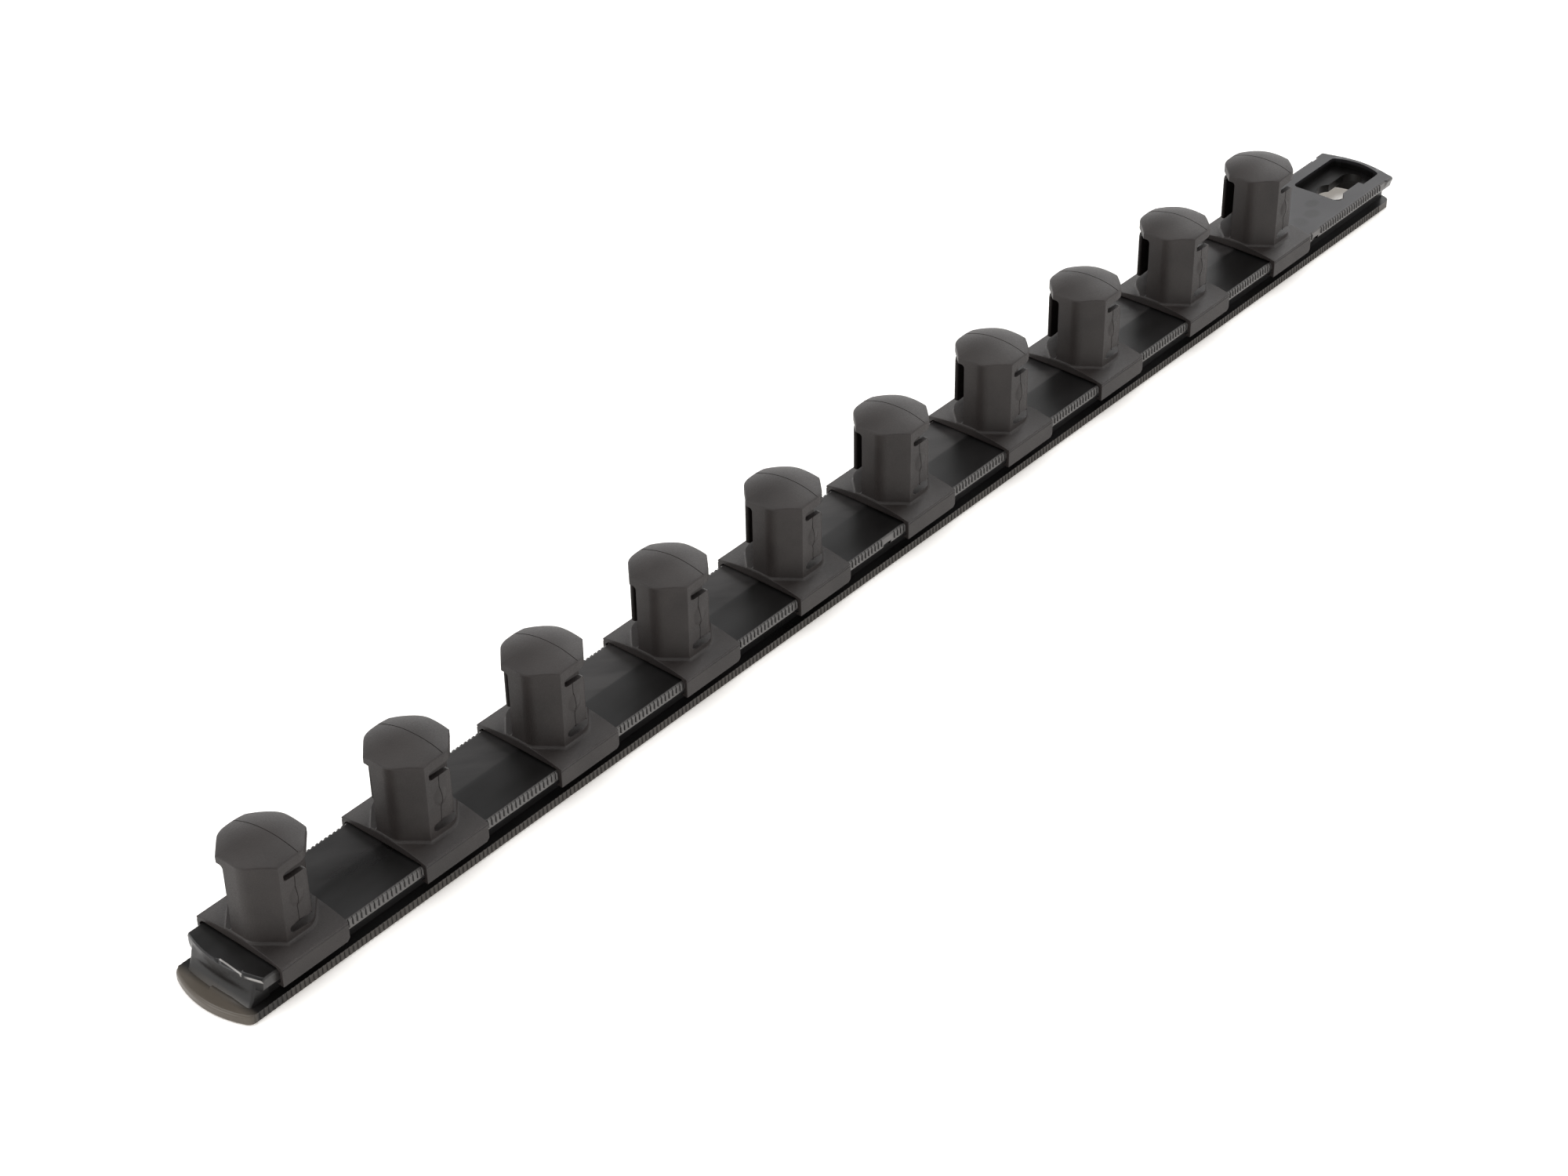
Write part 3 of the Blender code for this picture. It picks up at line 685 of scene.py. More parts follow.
# %% [markdown]
# ## The rail
#
# The rail's section is the same all along: a flat foot, a narrower web and a deck whose lips stand out
# over the web, so that the clips can hook under them. Only its ends differ. The near end is arched and
# swept, so that a clip can be pushed on, and the far end has two stop corners and a pocket with a slot.
# Lofts make the deck, the web, the near block and the foot, and Booleans join them and cut the pocket.

# %% Rail sizes
RAIL_HALF = 0.0080
EDGE_ROUNDING = 0.00012
FOOT_THICKNESS = 0.0015
FOOT_NEAR_BOW = 0.0019
FOOT_FAR_BOW = 0.0016
FAR_SETBACK = 0.0002
FOOT_CORNER_RADIUS = 0.00125
FOOT_NEAR_ROUNDING = 0.00055
WEB_HALF = 0.0063
WEB_NEAR_SETBACK = 0.0046
WEB_FAR_BOW = 0.0013
WEB_CORNER_RADIUS = 0.0006
WEB_LAP = 0.0004
DECK_SHOULDER_HEIGHT = 0.00636
DECK_CHAMFER = 0.0004
DECK_NEAR_SETBACK = 0.0035
DECK_NEAR_BOW = 0.0015
DECK_FAR_BOW = 0.0016
DECK_NEAR_BEVEL_DROP = 0.00035
# how long the near bevel is for its drop, at distances from the middle
BEVEL_SHARES_OF_DROP = ((0.0, 1.9), (0.0042, 1.9), (0.0047, 1.2), (0.0080, 1.5))
BEVEL_SHARE_ON_FAR_HALF = 0.6
RIB_BAND_HEIGHT = 0.00097
RIB_BAND_INSET = 0.0001
LIP_FACE_HEIGHT = 0.00059
LIP_TAPER = 0.0001
LIP_CHAMFER_HEIGHT = 0.00035
LIP_CHAMFER_WIDTH = 0.0005
STOP_LENGTH = 0.0022
STOP_STEP = 0.0004
DECK_SIDE_HEIGHT = DECK_SHOULDER_HEIGHT - DECK_CHAMFER
LIP_FACE_TOP = DECK_SIDE_HEIGHT - RIB_BAND_HEIGHT
LIP_CHAMFER_TOP = LIP_FACE_TOP - LIP_FACE_HEIGHT
LIP_BOTTOM = LIP_CHAMFER_TOP - LIP_CHAMFER_HEIGHT
END_STEPS = 20
ROUNDING_REACH = 1.6
print("lips from", mm(LIP_BOTTOM), "to", mm(DECK_SIDE_HEIGHT), "mm high")

# %% Near block sizes: height, setback from the near end and bow, from the toe up to the deck's end
BLOCK_HALF = 0.0066
BLOCK_CORNER_RADIUS = 0.0005
BLOCK_LENGTH = 0.0032
BLOCK_LEVELS = (
    (FOOT_THICKNESS - WEB_LAP, 0.0024, 0.00045),
    (0.0021, 0.0030, 0.0004),
    (0.0033, 0.0035, 0.00035),
    (0.0042, 0.0035, 0.0006),
    (0.0055, DECK_NEAR_SETBACK + 0.00005, DECK_NEAR_BOW * (BLOCK_HALF / RAIL_HALF) ** 2),
)
BLOCK_STEPS = 4


# %% [markdown]
# ### Deck
#
# The deck carries the clips. It could be a box with bevels, but its underside steps in under the lips, and
# its near end is bowed and bevelled by different amounts along its width. So it is described by columns,
# which say how high its bottom and its top are at each y. Rings of these columns stand at the near end,
# behind its bevel, at the stop corners and at the far end, and a loft joins them.

# %% Columns of the deck
def bowed(end, bow, half, y):
    """Where an arched end lies at a distance y from the middle; a positive bow bulges to +X."""
    return end - bow * (y / half) ** 2


def deck_height(y):
    shoulder_y = RAIL_HALF - DECK_CHAMFER
    if abs(y) > shoulder_y:
        return DECK_SHOULDER_HEIGHT - (abs(y) - shoulder_y)
    return between(DECK_RIDGE_HEIGHT, DECK_SHOULDER_HEIGHT, abs(y) / shoulder_y)


def deck_columns():
    """(y, bottom, top) of the deck's section from one edge to the other."""
    shoulder_y = RAIL_HALF - DECK_CHAMFER
    chamfer_y = RAIL_HALF - LIP_TAPER
    inner_y = chamfer_y - LIP_CHAMFER_WIDTH
    shoulder_share = (shoulder_y - inner_y) / LIP_CHAMFER_WIDTH
    jogs = [y for y, _ in BEVEL_SHARES_OF_DROP if 0 < y < inner_y]
    places = sorted(spread(0, inner_y, END_STEPS // 2) + jogs)
    flat = [(y, LIP_BOTTOM, deck_height(y)) for y in places]
    band_y = RAIL_HALF - RIB_BAND_INSET
    lip = [
        (shoulder_y, between(LIP_BOTTOM, LIP_CHAMFER_TOP, shoulder_share), deck_height(shoulder_y)),
        (band_y - EDGE_ROUNDING, LIP_CHAMFER_TOP, deck_height(band_y - EDGE_ROUNDING)),
        (band_y, LIP_FACE_TOP, deck_height(band_y)),
    ]
    half = flat + lip
    return [(-y, bottom, top) for y, bottom, top in reversed(half[1:])] + half


# %% Loft the deck
def bevel_share(y):
    """How long the near end's bevel is for its drop: longer, in two strips, on the -Y half."""
    if y > 0:
        return BEVEL_SHARE_ON_FAR_HALF
    for (start, low), (end, high) in zip(BEVEL_SHARES_OF_DROP, BEVEL_SHARES_OF_DROP[1:]):
        if -y <= end:
            return between(low, high, (-y - start) / (end - start))
    return high


def deck_mesh():
    """The deck, lofted from its bevelled near end to its stop corners."""
    columns = deck_columns()
    lip_start = RAIL_HALF - LIP_TAPER - LIP_CHAMFER_WIDTH
    stop_start = FAR_END - DECK_FAR_BOW - STOP_LENGTH

    def ring(place_of):
        row = [(*place_of(y, top), y, bottom) for y, bottom, top in columns]
        upper = [(x, wide_y, top) for x, wide_y, top, y, bottom in row]
        lower = [(x, y, bottom) for x, wide_y, top, y, bottom in reversed(row)]
        return upper + lower

    def near_ring(share):
        def place(y, top):
            x = bowed(NEAR_END + DECK_NEAR_SETBACK, -DECK_NEAR_BOW, RAIL_HALF, y)
            x += DECK_NEAR_BEVEL_DROP * bevel_share(y) * share
            return x, y, top - DECK_NEAR_BEVEL_DROP * (1 - share)
        return ring(place)

    def wide(y):
        return y + math.copysign(STOP_STEP, y) if abs(y) >= lip_start else y

    rings = [near_ring(0), near_ring(1)]
    rings.append(ring(lambda y, top: (stop_start, y, top)))
    rings.append(ring(lambda y, top: (stop_start + STOP_STEP, wide(y), top)))
    rings.append(ring(lambda y, top: (bowed(FAR_END, DECK_FAR_BOW, RAIL_HALF, y), wide(y), top)))
    return loft("deck", rings, columns=len(columns))


# %% [markdown]
# ### Web, near block and foot
#
# Below the deck, the rail is made of upright bodies whose plans have arched ends and rounded corners. The
# web is a plain one. The near block's end face is hollow, so its rings follow a smooth curve from the toe
# up to the deck. The foot has several rings too, because its top edge is rounded over at the near end.

# %% Plans with arched ends
def end_arc(end, bow, half, radius):
    """An arched end from corner to corner, with no point inside the reach of a corner's rounding."""
    clear = half - radius * ROUNDING_REACH
    places = [-half] + spread(-clear, clear, END_STEPS) + [half]
    return [(bowed(end, bow, half, y), y) for y in places]


def arched_plan(near, near_bow, far, far_bow, half, radius):
    """A long plan outline with an arched end at each side and rounded corners."""
    far_points = end_arc(far, far_bow, half, radius)
    near_points = list(reversed(end_arc(near, -near_bow, half, radius)))
    outline = far_points + near_points
    ends = (0, len(far_points) - 1, len(far_points), len(outline) - 1)
    return rounded(outline, dict.fromkeys(ends, radius))


# %% Web and near block
def web_mesh():
    near_bow = DECK_NEAR_BOW * (WEB_HALF / RAIL_HALF) ** 2
    outline = arched_plan(
        NEAR_END + WEB_NEAR_SETBACK, near_bow, FAR_END - FAR_SETBACK, WEB_FAR_BOW, WEB_HALF,
        WEB_CORNER_RADIUS)
    return upright("web", outline, FOOT_THICKNESS - WEB_LAP, LIP_BOTTOM + WEB_LAP)


def near_block_mesh():
    """The block at the near end, whose hollow end face runs from the foot up to the deck's end."""
    back = NEAR_END + DECK_NEAR_SETBACK + BLOCK_LENGTH
    rings = []
    for height, setback, bow in smooth_rows(BLOCK_LEVELS, BLOCK_STEPS):
        near = list(reversed(end_arc(NEAR_END + setback, -bow, BLOCK_HALF, BLOCK_CORNER_RADIUS)))
        outline = near + [(back, -BLOCK_HALF), (back, BLOCK_HALF)]
        radii = dict.fromkeys((0, len(near) - 1), BLOCK_CORNER_RADIUS)
        rings.append(at_height(rounded(outline, radii), height))
    return loft("near_block", rings)


# %% Foot
def foot_mesh():
    """The foot, whose top edge is rounded over at the near end."""
    levels = [(0, 0)]
    for drop, setback in quarter(CORNER_STEPS):
        levels.append((FOOT_THICKNESS - FOOT_NEAR_ROUNDING * drop, FOOT_NEAR_ROUNDING * setback))
    rings = []
    for height, setback in levels:
        outline = arched_plan(
            NEAR_END + setback, FOOT_NEAR_BOW, FAR_END - FAR_SETBACK, FOOT_FAR_BOW, RAIL_HALF,
            FOOT_CORNER_RADIUS)
        rings.append(at_height(outline, height))
    return loft("foot", rings)


# %% [markdown]
# ### Toe ramp
#
# A low ramp on the foot's top leads up to the near block's toe. It rises from one side, stays level for a
# while and ends in a small step near the middle, so it is lofted across the rail.

# %% Toe ramp
TOE_RAMP_REACH = (-0.0062, 0.0009)
TOE_RAMP_LENGTH = 0.0006
TOE_RAMP_TAPER = 0.0030
TOE_RAMP_HEIGHT = 0.00034
TOE_RAMP_LAP = 0.0006


def toe_ramp_mesh():
    _, setback, bow = BLOCK_LEVELS[0]
    low = FOOT_THICKNESS - WEB_LAP
    rings = []
    for y in spread(*TOE_RAMP_REACH, END_STEPS):
        toe = NEAR_END + setback + bow * (y / BLOCK_HALF) ** 2
        share = min(1, (y - TOE_RAMP_REACH[0]) / TOE_RAMP_TAPER)
        high = FOOT_THICKNESS - EDGE_ROUNDING / 4 + TOE_RAMP_HEIGHT * share
        rings.append([
            (toe - TOE_RAMP_LENGTH, y, low), (toe + TOE_RAMP_LAP, y, low),
            (toe + TOE_RAMP_LAP, y, high), (toe, y, high),
            (toe - TOE_RAMP_LENGTH, y, FOOT_THICKNESS - EDGE_ROUNDING / 2)])
    return loft("toe_ramp", rings)


# %% [markdown]
# ### Pocket, keyhole and notches
#
# The rail hangs on a hook by its far end. There a pocket lies in the deck, with a boss on one wall and a
# keyhole through its shelf, and the foot is hollow below. Two small notches are cut into one lip. All of
# them are upright bodies with rounded plans, cut out with Booleans.

# %% Sizes of the hanging pocket and the notches
POCKET_WALL = 0.0008
POCKET_LENGTH = 0.0159
POCKET_HALF = 0.00525
POCKET_BOW = 0.00125
POCKET_CORNER_RADIUS = 0.0010
SHELF_HEIGHT = 0.0045
SHELF_THICKNESS = 0.0016
BOSS_OFFSET = 0.0019
BOSS_RAMP = 0.0014
BOSS_LENGTH = 0.0072
BOSS_DEPTH = 0.00115
BOSS_CORNER_RADIUS = 0.0008
KEYHOLE_RADIUS = 0.0031
KEYHOLE_SLOT_HALF = 0.00215
KEYHOLE_SLOT_LENGTH = 0.0070
KEYHOLE_LEDGE = 0.0012
KEYHOLE_SHIFT = 0.0005
NOTCH_CENTRES_FROM_FAR_END = (0.1611, 0.0291)
NOTCH_HALF = 0.0010
NOTCH_DEPTH = 0.0009
CUT_OVERRUN = 0.002


# %% Plans of the pocket, the keyhole and a notch
def pocket_outline(with_boss):
    far = FAR_END - POCKET_WALL
    near = far - POCKET_LENGTH
    arc = end_arc(far, POCKET_BOW, POCKET_HALF, POCKET_CORNER_RADIUS)
    outline = arc + [(near, POCKET_HALF), (near, -POCKET_HALF)]
    corners = (0, len(arc) - 1, len(arc), len(arc) + 1)
    radii = dict.fromkeys(corners, POCKET_CORNER_RADIUS)
    if with_boss:
        start = near + BOSS_OFFSET
        end = start + BOSS_LENGTH
        top = -POCKET_HALF + BOSS_DEPTH
        radii[len(outline) + 1] = BOSS_CORNER_RADIUS
        outline += [(start, -POCKET_HALF), (start + BOSS_RAMP, top), (end, top), (end, -POCKET_HALF)]
    return rounded(outline, radii)


def keyhole_outline():
    """The hanging keyhole: a round hole, and a slot from it towards the far end."""
    slot_centre = FAR_END - POCKET_WALL - KEYHOLE_LEDGE - KEYHOLE_SLOT_HALF
    hole_centre = slot_centre - KEYHOLE_SLOT_LENGTH
    mouth = math.asin(KEYHOLE_SLOT_HALF / KEYHOLE_RADIUS)
    arcs = (
        (slot_centre, KEYHOLE_SLOT_HALF, -math.pi / 2, math.pi / 2),
        (hole_centre, KEYHOLE_RADIUS, mouth, 2 * math.pi - mouth),
    )
    outline = []
    for centre, radius, first, last in arcs:
        for angle in spread(first, last, END_STEPS):
            outline.append((centre + radius * math.cos(angle), radius * math.sin(angle) - KEYHOLE_SHIFT))
    return outline


def notch_mesh(centre):
    outer = -RAIL_HALF - CUT_OVERRUN
    inner = -RAIL_HALF + NOTCH_DEPTH
    plan = [(centre - NOTCH_HALF, outer), (centre + NOTCH_HALF, outer),
            (centre + NOTCH_HALF, inner), (centre - NOTCH_HALF, inner)]
    return upright("notch", plan, LIP_BOTTOM - CUT_OVERRUN / 2, LIP_FACE_TOP)


# %% [markdown]
# ### Duller hollows
#
# The pocket and the notches were cut by small cores in the mould, and their walls stayed rougher. The
# faces whose centres lie in these hollows get the duller plastic as their second material.

# %% Paint the hollows
HOLLOW_TOP = 0.0058
TOUCH = 0.00001


def in_hollow(x, y, z):
    """Whether a face's centre lies in the hanging pocket or in a lip notch."""
    far = FAR_END - POCKET_WALL
    in_pocket = (far - POCKET_LENGTH - TOUCH < x < far and abs(y) < POCKET_HALF + TOUCH
                 and SHELF_HEIGHT - TOUCH < z < HOLLOW_TOP)
    depth = y + RAIL_HALF
    in_notch = any(
        abs(x - (FAR_END - distance)) < NOTCH_HALF + TOUCH
        and TOUCH < depth < NOTCH_DEPTH + TOUCH and z > LIP_BOTTOM
        for distance in NOTCH_CENTRES_FROM_FAR_END)
    return in_pocket or in_notch


def paint_hollows(rail):
    rail.data.materials.append(hollow_plastic)
    painted = [face for face in rail.data.polygons if in_hollow(*face.center)]
    for face in painted:
        face.material_index = 1
    print("faces in hollows:", len(painted))


# %% Join the rail
def make_rail():
    rail = add_object("rail_moulding", softened("deck", deck_mesh(), EDGE_ROUNDING))
    combine(rail, web_mesh(), "UNION")
    combine(rail, near_block_mesh(), "UNION")
    combine(rail, softened("foot", foot_mesh(), EDGE_ROUNDING), "UNION")
    combine(rail, toe_ramp_mesh(), "UNION")
    pocket_top = DECK_RIDGE_HEIGHT + CUT_OVERRUN
    combine(rail, upright("pocket", pocket_outline(True), SHELF_HEIGHT, pocket_top), "DIFFERENCE")
    hollow_top = SHELF_HEIGHT - SHELF_THICKNESS
    combine(rail, upright("hollow", pocket_outline(False), -CUT_OVERRUN, hollow_top), "DIFFERENCE")
    combine(rail, upright("keyhole", keyhole_outline(), 0, pocket_top), "DIFFERENCE")
    for distance in NOTCH_CENTRES_FROM_FAR_END:
        combine(rail, notch_mesh(FAR_END - distance), "DIFFERENCE")
    shade(rail, rail_plastic)
    paint_hollows(rail)
    return rail


rail = make_rail()
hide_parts("rail")
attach(rail, "rail")
print("rail:", len(rail.data.polygons), "faces")

# %% [markdown]
# ## Ribs along both flanges
#
# The edges of the deck and of the foot are cut into fine upright ribs, about 340 on each side. They are
# all alike, so Geometry Nodes make them: a short path is swept into one rib, a line of points repeats it
# along the rail, and a half turn gives the other side. The ribs stand on the smooth faces of the mouldings
# and reach a little into them, so that no gap shows. On the turned side, the points at the lip notches
# are deleted, because a rib would cross the notch there.

# %% Rib sizes
RIB_PITCH = 0.000852
RIB_WIDTH = 0.00054
RIB_DEPTH = 0.00034
RIB_SIDES = 8
RIBS_FAR_MARGIN = 0.0042
DECK_RIBS_NEAR_MARGIN = 0.0085
DECK_RIB_SINK = 0.00015
DECK_RIB_TOP_DROP = 0.00023
FOOT_RIBS_NEAR_MARGIN = 0.0028
FOOT_RIB_SINK = 0.00012
FOOT_RIB_BOTTOM = 0.0002
FOOT_RIB_TOP_DROP = 0.0003
RIBBED_LENGTH = FAR_END - RIBS_FAR_MARGIN - NEAR_END - DECK_RIBS_NEAR_MARGIN
print("ribs on each side of the deck:", int(RIBBED_LENGTH / RIB_PITCH))


def deck_rib_path():
    """Up the side of the deck, then in over its chamfer, (y, z)."""
    side = RAIL_HALF - DECK_RIB_SINK
    knee = DECK_SIDE_HEIGHT - DECK_RIB_SINK / 2
    top = DECK_SHOULDER_HEIGHT - DECK_RIB_TOP_DROP
    return [(side, LIP_FACE_TOP), (side, knee), (side - (top - knee), top)]


def foot_rib_path():
    side = RAIL_HALF - FOOT_RIB_SINK
    top = FOOT_THICKNESS - FOOT_RIB_TOP_DROP
    return [(side, FOOT_RIB_BOTTOM), (side, top), (side - FOOT_RIB_SINK, top + FOOT_RIB_SINK)]


# %% Steps that both Geometry Nodes trees share
def path_curve(tree, given):
    return add_node(tree, "GeometryNodeMeshToCurve", {"Mesh": given["Path"]}).outputs["Curve"]


def circle_node(tree, radius, sides):
    values = {"Resolution": sides, "Radius": radius}
    return add_node(tree, "GeometryNodeCurvePrimitiveCircle", values).outputs["Curve"]


def sweep_node(tree, curve, section):
    """A closed mesh from a section swept along a curve."""
    values = {"Curve": curve, "Profile Curve": section, "Fill Caps": True}
    return add_node(tree, "GeometryNodeCurveToMesh", values).outputs["Mesh"]


def position_node(tree):
    return add_node(tree, "GeometryNodeInputPosition").outputs["Position"]


def end_tree(tree, result, geometry, material):
    """End a tree: make its instances real and give them their material."""
    real = add_node(tree, "GeometryNodeRealizeInstances", {"Geometry": geometry})
    painted = add_node(tree, "GeometryNodeSetMaterial", {
        "Geometry": real.outputs["Geometry"], "Material": material})
    fill(tree, result, {"Geometry": painted.outputs["Geometry"]})


def grow(name, mesh, tree_and_sockets, **values):
    """A plain mesh object that a Geometry Nodes tree makes from a path."""
    tree, sockets = tree_and_sockets
    item = add_object(name, mesh)
    modifier = item.modifiers.new("grow", "NODES")
    modifier.node_group = tree
    for label, value in values.items():
        modifier[sockets[label]] = value
    bake(item)
    return item


# %% Rib tree
RIB_INPUTS = {
    "Path": None, "Start": NEAR_END, "End": FAR_END,
    "Pitch": RIB_PITCH, "Width": RIB_WIDTH, "Depth": RIB_DEPTH,
    "First Gap": 0.0, "Second Gap": 0.0, "Half Gap": 0.0,
}


def rib_node(tree, given):
    """One rib: an octagon with a flat crest, squeezed to width and depth and swept along the path."""
    flat_crest = add_node(tree, "GeometryNodeTransform", {
        "Geometry": circle_node(tree, 1.0, RIB_SIDES), "Rotation": (0.0, 0.0, math.pi / RIB_SIDES)})
    half_width = math_node(tree, "DIVIDE", given["Width"], 2.0)
    squeezed = add_node(tree, "GeometryNodeTransform", {
        "Geometry": flat_crest.outputs["Geometry"],
        "Scale": join_node(tree, half_width, given["Depth"], 1.0)})
    return sweep_node(tree, path_curve(tree, given), squeezed.outputs["Geometry"])


def rows_of_points(tree, given):
    """The line of points that ribs stand on, whole and without those at the notches."""
    length = math_node(tree, "SUBTRACT", given["End"], given["Start"])
    row = add_node(tree, "GeometryNodeMeshLine", {
        "Count": math_node(tree, "FLOOR", math_node(tree, "DIVIDE", length, given["Pitch"])),
        "Start Location": join_node(tree, given["Start"], 0.0, 0.0),
        "Offset": join_node(tree, given["Pitch"], 0.0, 0.0)}).outputs["Mesh"]
    x = split_node(tree, position_node(tree))["X"]
    distances = [math_node(tree, "ABSOLUTE", math_node(tree, "SUBTRACT", x, given[label]))
                 for label in ("First Gap", "Second Gap")]
    at_notch = math_node(tree, "LESS_THAN", math_node(tree, "MINIMUM", *distances), given["Half Gap"])
    cleared = add_node(tree, "GeometryNodeDeleteGeometry", {"Geometry": row, "Selection": at_notch})
    return row, cleared.outputs["Geometry"]


def make_rib_tree(material):
    tree, given, result, sockets = new_group(
        "ribs_along_rail", "GeometryNodeTree", RIB_INPUTS, {"Geometry": None})
    rib = rib_node(tree, given)
    both_sides = add_node(tree, "GeometryNodeJoinGeometry")
    for points, turn in zip(rows_of_points(tree, given), (0.0, math.pi)):
        side = add_node(tree, "GeometryNodeInstanceOnPoints", {
            "Points": points, "Instance": rib, "Rotation": (0.0, 0.0, turn)})
        fill(tree, both_sides, {"Geometry": side.outputs["Instances"]})
    end_tree(tree, result, both_sides.outputs["Geometry"], material)
    return tree, sockets


# %% Ribs on the deck and on the foot
def make_ribs(name, path, near_margin, **gaps):
    mesh = path_mesh(name, [[(0, y, z) for y, z in path]])
    start = NEAR_END + near_margin
    item = grow(name, mesh, rib_tree, Start=start, End=FAR_END - RIBS_FAR_MARGIN, **gaps)
    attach(item, "rail")
    print(name, len(item.data.polygons), "faces")


rib_tree = make_rib_tree(rail_plastic)
notch_gaps = {
    "First Gap": FAR_END - NOTCH_CENTRES_FROM_FAR_END[0],
    "Second Gap": FAR_END - NOTCH_CENTRES_FROM_FAR_END[1],
    "Half Gap": NOTCH_HALF + RIB_WIDTH / 2,
}
make_ribs("deck_ribs", deck_rib_path(), DECK_RIBS_NEAR_MARGIN, **notch_gaps)
make_ribs("foot_ribs", foot_rib_path(), FOOT_RIBS_NEAR_MARGIN)

# %% [markdown]
# ## The clips
#
# A clip is one moulding made in a mould with two side cores. Its saddle is an extruded section with a
# crowned roof. Its post has eight sides and every other corner well rounded, and it is capped by a dome.
# The side cores leave two pockets that wrap round a spring leaf each. Loft, join and cut follow the
# mould: saddle and post are joined, then the cores are cut out, then the snap bumps are joined on.

# %% Clip sizes
FIT_GAP = 0.0003
ROOF_EDGE_HEIGHT = 0.0070
ROOF_CROWN = 0.00112
LEDGE_HEIGHT = 0.00025
LEDGE_SHOULDER = 0.00012
GROOVE_DEPTH = 0.00016
GROOVE_HEIGHT = 0.00026
SKIRT_CHAMFER = 0.0006
POST_HALF = 0.0062
POST_CORNER_RADIUS = 0.0031
POST_EDGE_RADIUS = 0.00018
POST_ROOT_DEPTH = 0.0006
POST_FILLET = 0.0004
POST_FOOT_INSET = 0.00005
HEAD_DOME_RADIUS = 0.0149
HEAD_RIM_ROUNDING = 0.0002
POST_VERTEX = POST_HALF * math.tan(math.pi / 8)
ROOF_STEPS = 24
FILLET_STEPS = 5
DOME_RINGS = 9
RIM_STEPS = 3
POST_SIDE_PIECES = 4
SADDLE_STATIONS = 16
SADDLE_ROUNDING = 0.00016
SADDLE_EDGE_ANGLE = 40.0
print("saddle", mm(SADDLE_LENGTH), "mm long, post", mm(2 * POST_HALF), "mm across flats")


# %% [markdown]
# ### Saddle
#
# The saddle is the same from end to end, so its section says it all: a crowned roof outside, the rail's
# own section inside with a small gap round it, and a hook under each lip. A loft through several stations
# is better here than one long extrusion, because the joined post then meets no long thin faces.

# %% Saddle
def roof_height(y):
    return ROOF_EDGE_HEIGHT + ROOF_CROWN * (1 - (y / SADDLE_OUTER_HALF) ** 2)


def saddle_outline():
    """The saddle's section: a crowned roof, a ledge over each skirt, and hooks under the lips."""
    inner_half = RAIL_HALF + FIT_GAP
    shoulder = SADDLE_OUTER_HALF - LEDGE_SHOULDER
    ledge_bottom = ROOF_EDGE_HEIGHT - LEDGE_HEIGHT
    chamfer_run = math.hypot(LIP_CHAMFER_WIDTH, LIP_CHAMFER_HEIGHT)
    hook_y = RAIL_HALF - LIP_TAPER - LIP_CHAMFER_WIDTH + FIT_GAP * LIP_CHAMFER_HEIGHT / chamfer_run
    hook_z = LIP_BOTTOM - FIT_GAP * LIP_CHAMFER_WIDTH / chamfer_run
    hook_root_z = hook_z + (inner_half - hook_y) * LIP_CHAMFER_HEIGHT / LIP_CHAMFER_WIDTH
    corner_step = FIT_GAP * math.tan(math.pi / 8)
    roof = [(y, roof_height(y)) for y in spread(-shoulder, shoulder, ROOF_STEPS)]
    right = [
        (SADDLE_OUTER_HALF, ROOF_EDGE_HEIGHT - LEDGE_SHOULDER),
        (SADDLE_OUTER_HALF, ledge_bottom),
        (SADDLE_OUTER_HALF - GROOVE_DEPTH, ledge_bottom - GROOVE_HEIGHT / 2),
        (SADDLE_OUTER_HALF, ledge_bottom - GROOVE_HEIGHT),
        (SADDLE_OUTER_HALF, SKIRT_BOTTOM),
        (hook_y, SKIRT_BOTTOM),
        (hook_y, hook_z),
        (inner_half, hook_root_z),
        (inner_half, DECK_SIDE_HEIGHT + corner_step),
        (RAIL_HALF - DECK_CHAMFER + corner_step, DECK_SHOULDER_HEIGHT + FIT_GAP),
    ]
    left = [(-y, z) for y, z in reversed(right)]
    return roof + right + [(0, DECK_RIDGE_HEIGHT + FIT_GAP)] + left


def saddle_mesh():
    half = SADDLE_LENGTH / 2
    outline = saddle_outline()
    stations = spread(-half, half, SADDLE_STATIONS)
    return loft("saddle", [[(x, y, z) for y, z in outline] for x in stations])


# %% [markdown]
# ### Post and head
#
# The post could be a cylinder with flats cut off, but its foot flares out over the crowned roof, and the
# dome's rim rises at each flat. So it is lofted in rings of one plan: the fillet at the foot, the rounded
# rim, and then smaller and smaller rings up the dome to its middle.

# %% Plan of the post
def post_outline():
    big = POST_HALF
    small = POST_VERTEX
    corners = [
        (-small, -big), (small, -big), (big, -small), (big, small),
        (small, big), (-small, big), (-big, small), (-big, -small),
    ]
    outline = rounded(corners, dict(enumerate([POST_EDGE_RADIUS, POST_CORNER_RADIUS] * 4)))
    result = []
    for index, point in enumerate(outline):
        after = outline[(index + 1) % len(outline)]
        pieces = POST_SIDE_PIECES if math.dist(point, after) > POST_VERTEX else 1
        for step in range(pieces):
            share = step / pieces
            result.append((between(point[0], after[0], share), between(point[1], after[1], share)))
    return result


# %% Loft the post
def dome_height(x, y):
    return HEAD_TOP_HEIGHT - HEAD_DOME_RADIUS + math.sqrt(HEAD_DOME_RADIUS ** 2 - x * x - y * y)


def inset(x, y, distance):
    reach = math.hypot(x, y)
    return x * (1 - distance / reach), y * (1 - distance / reach)


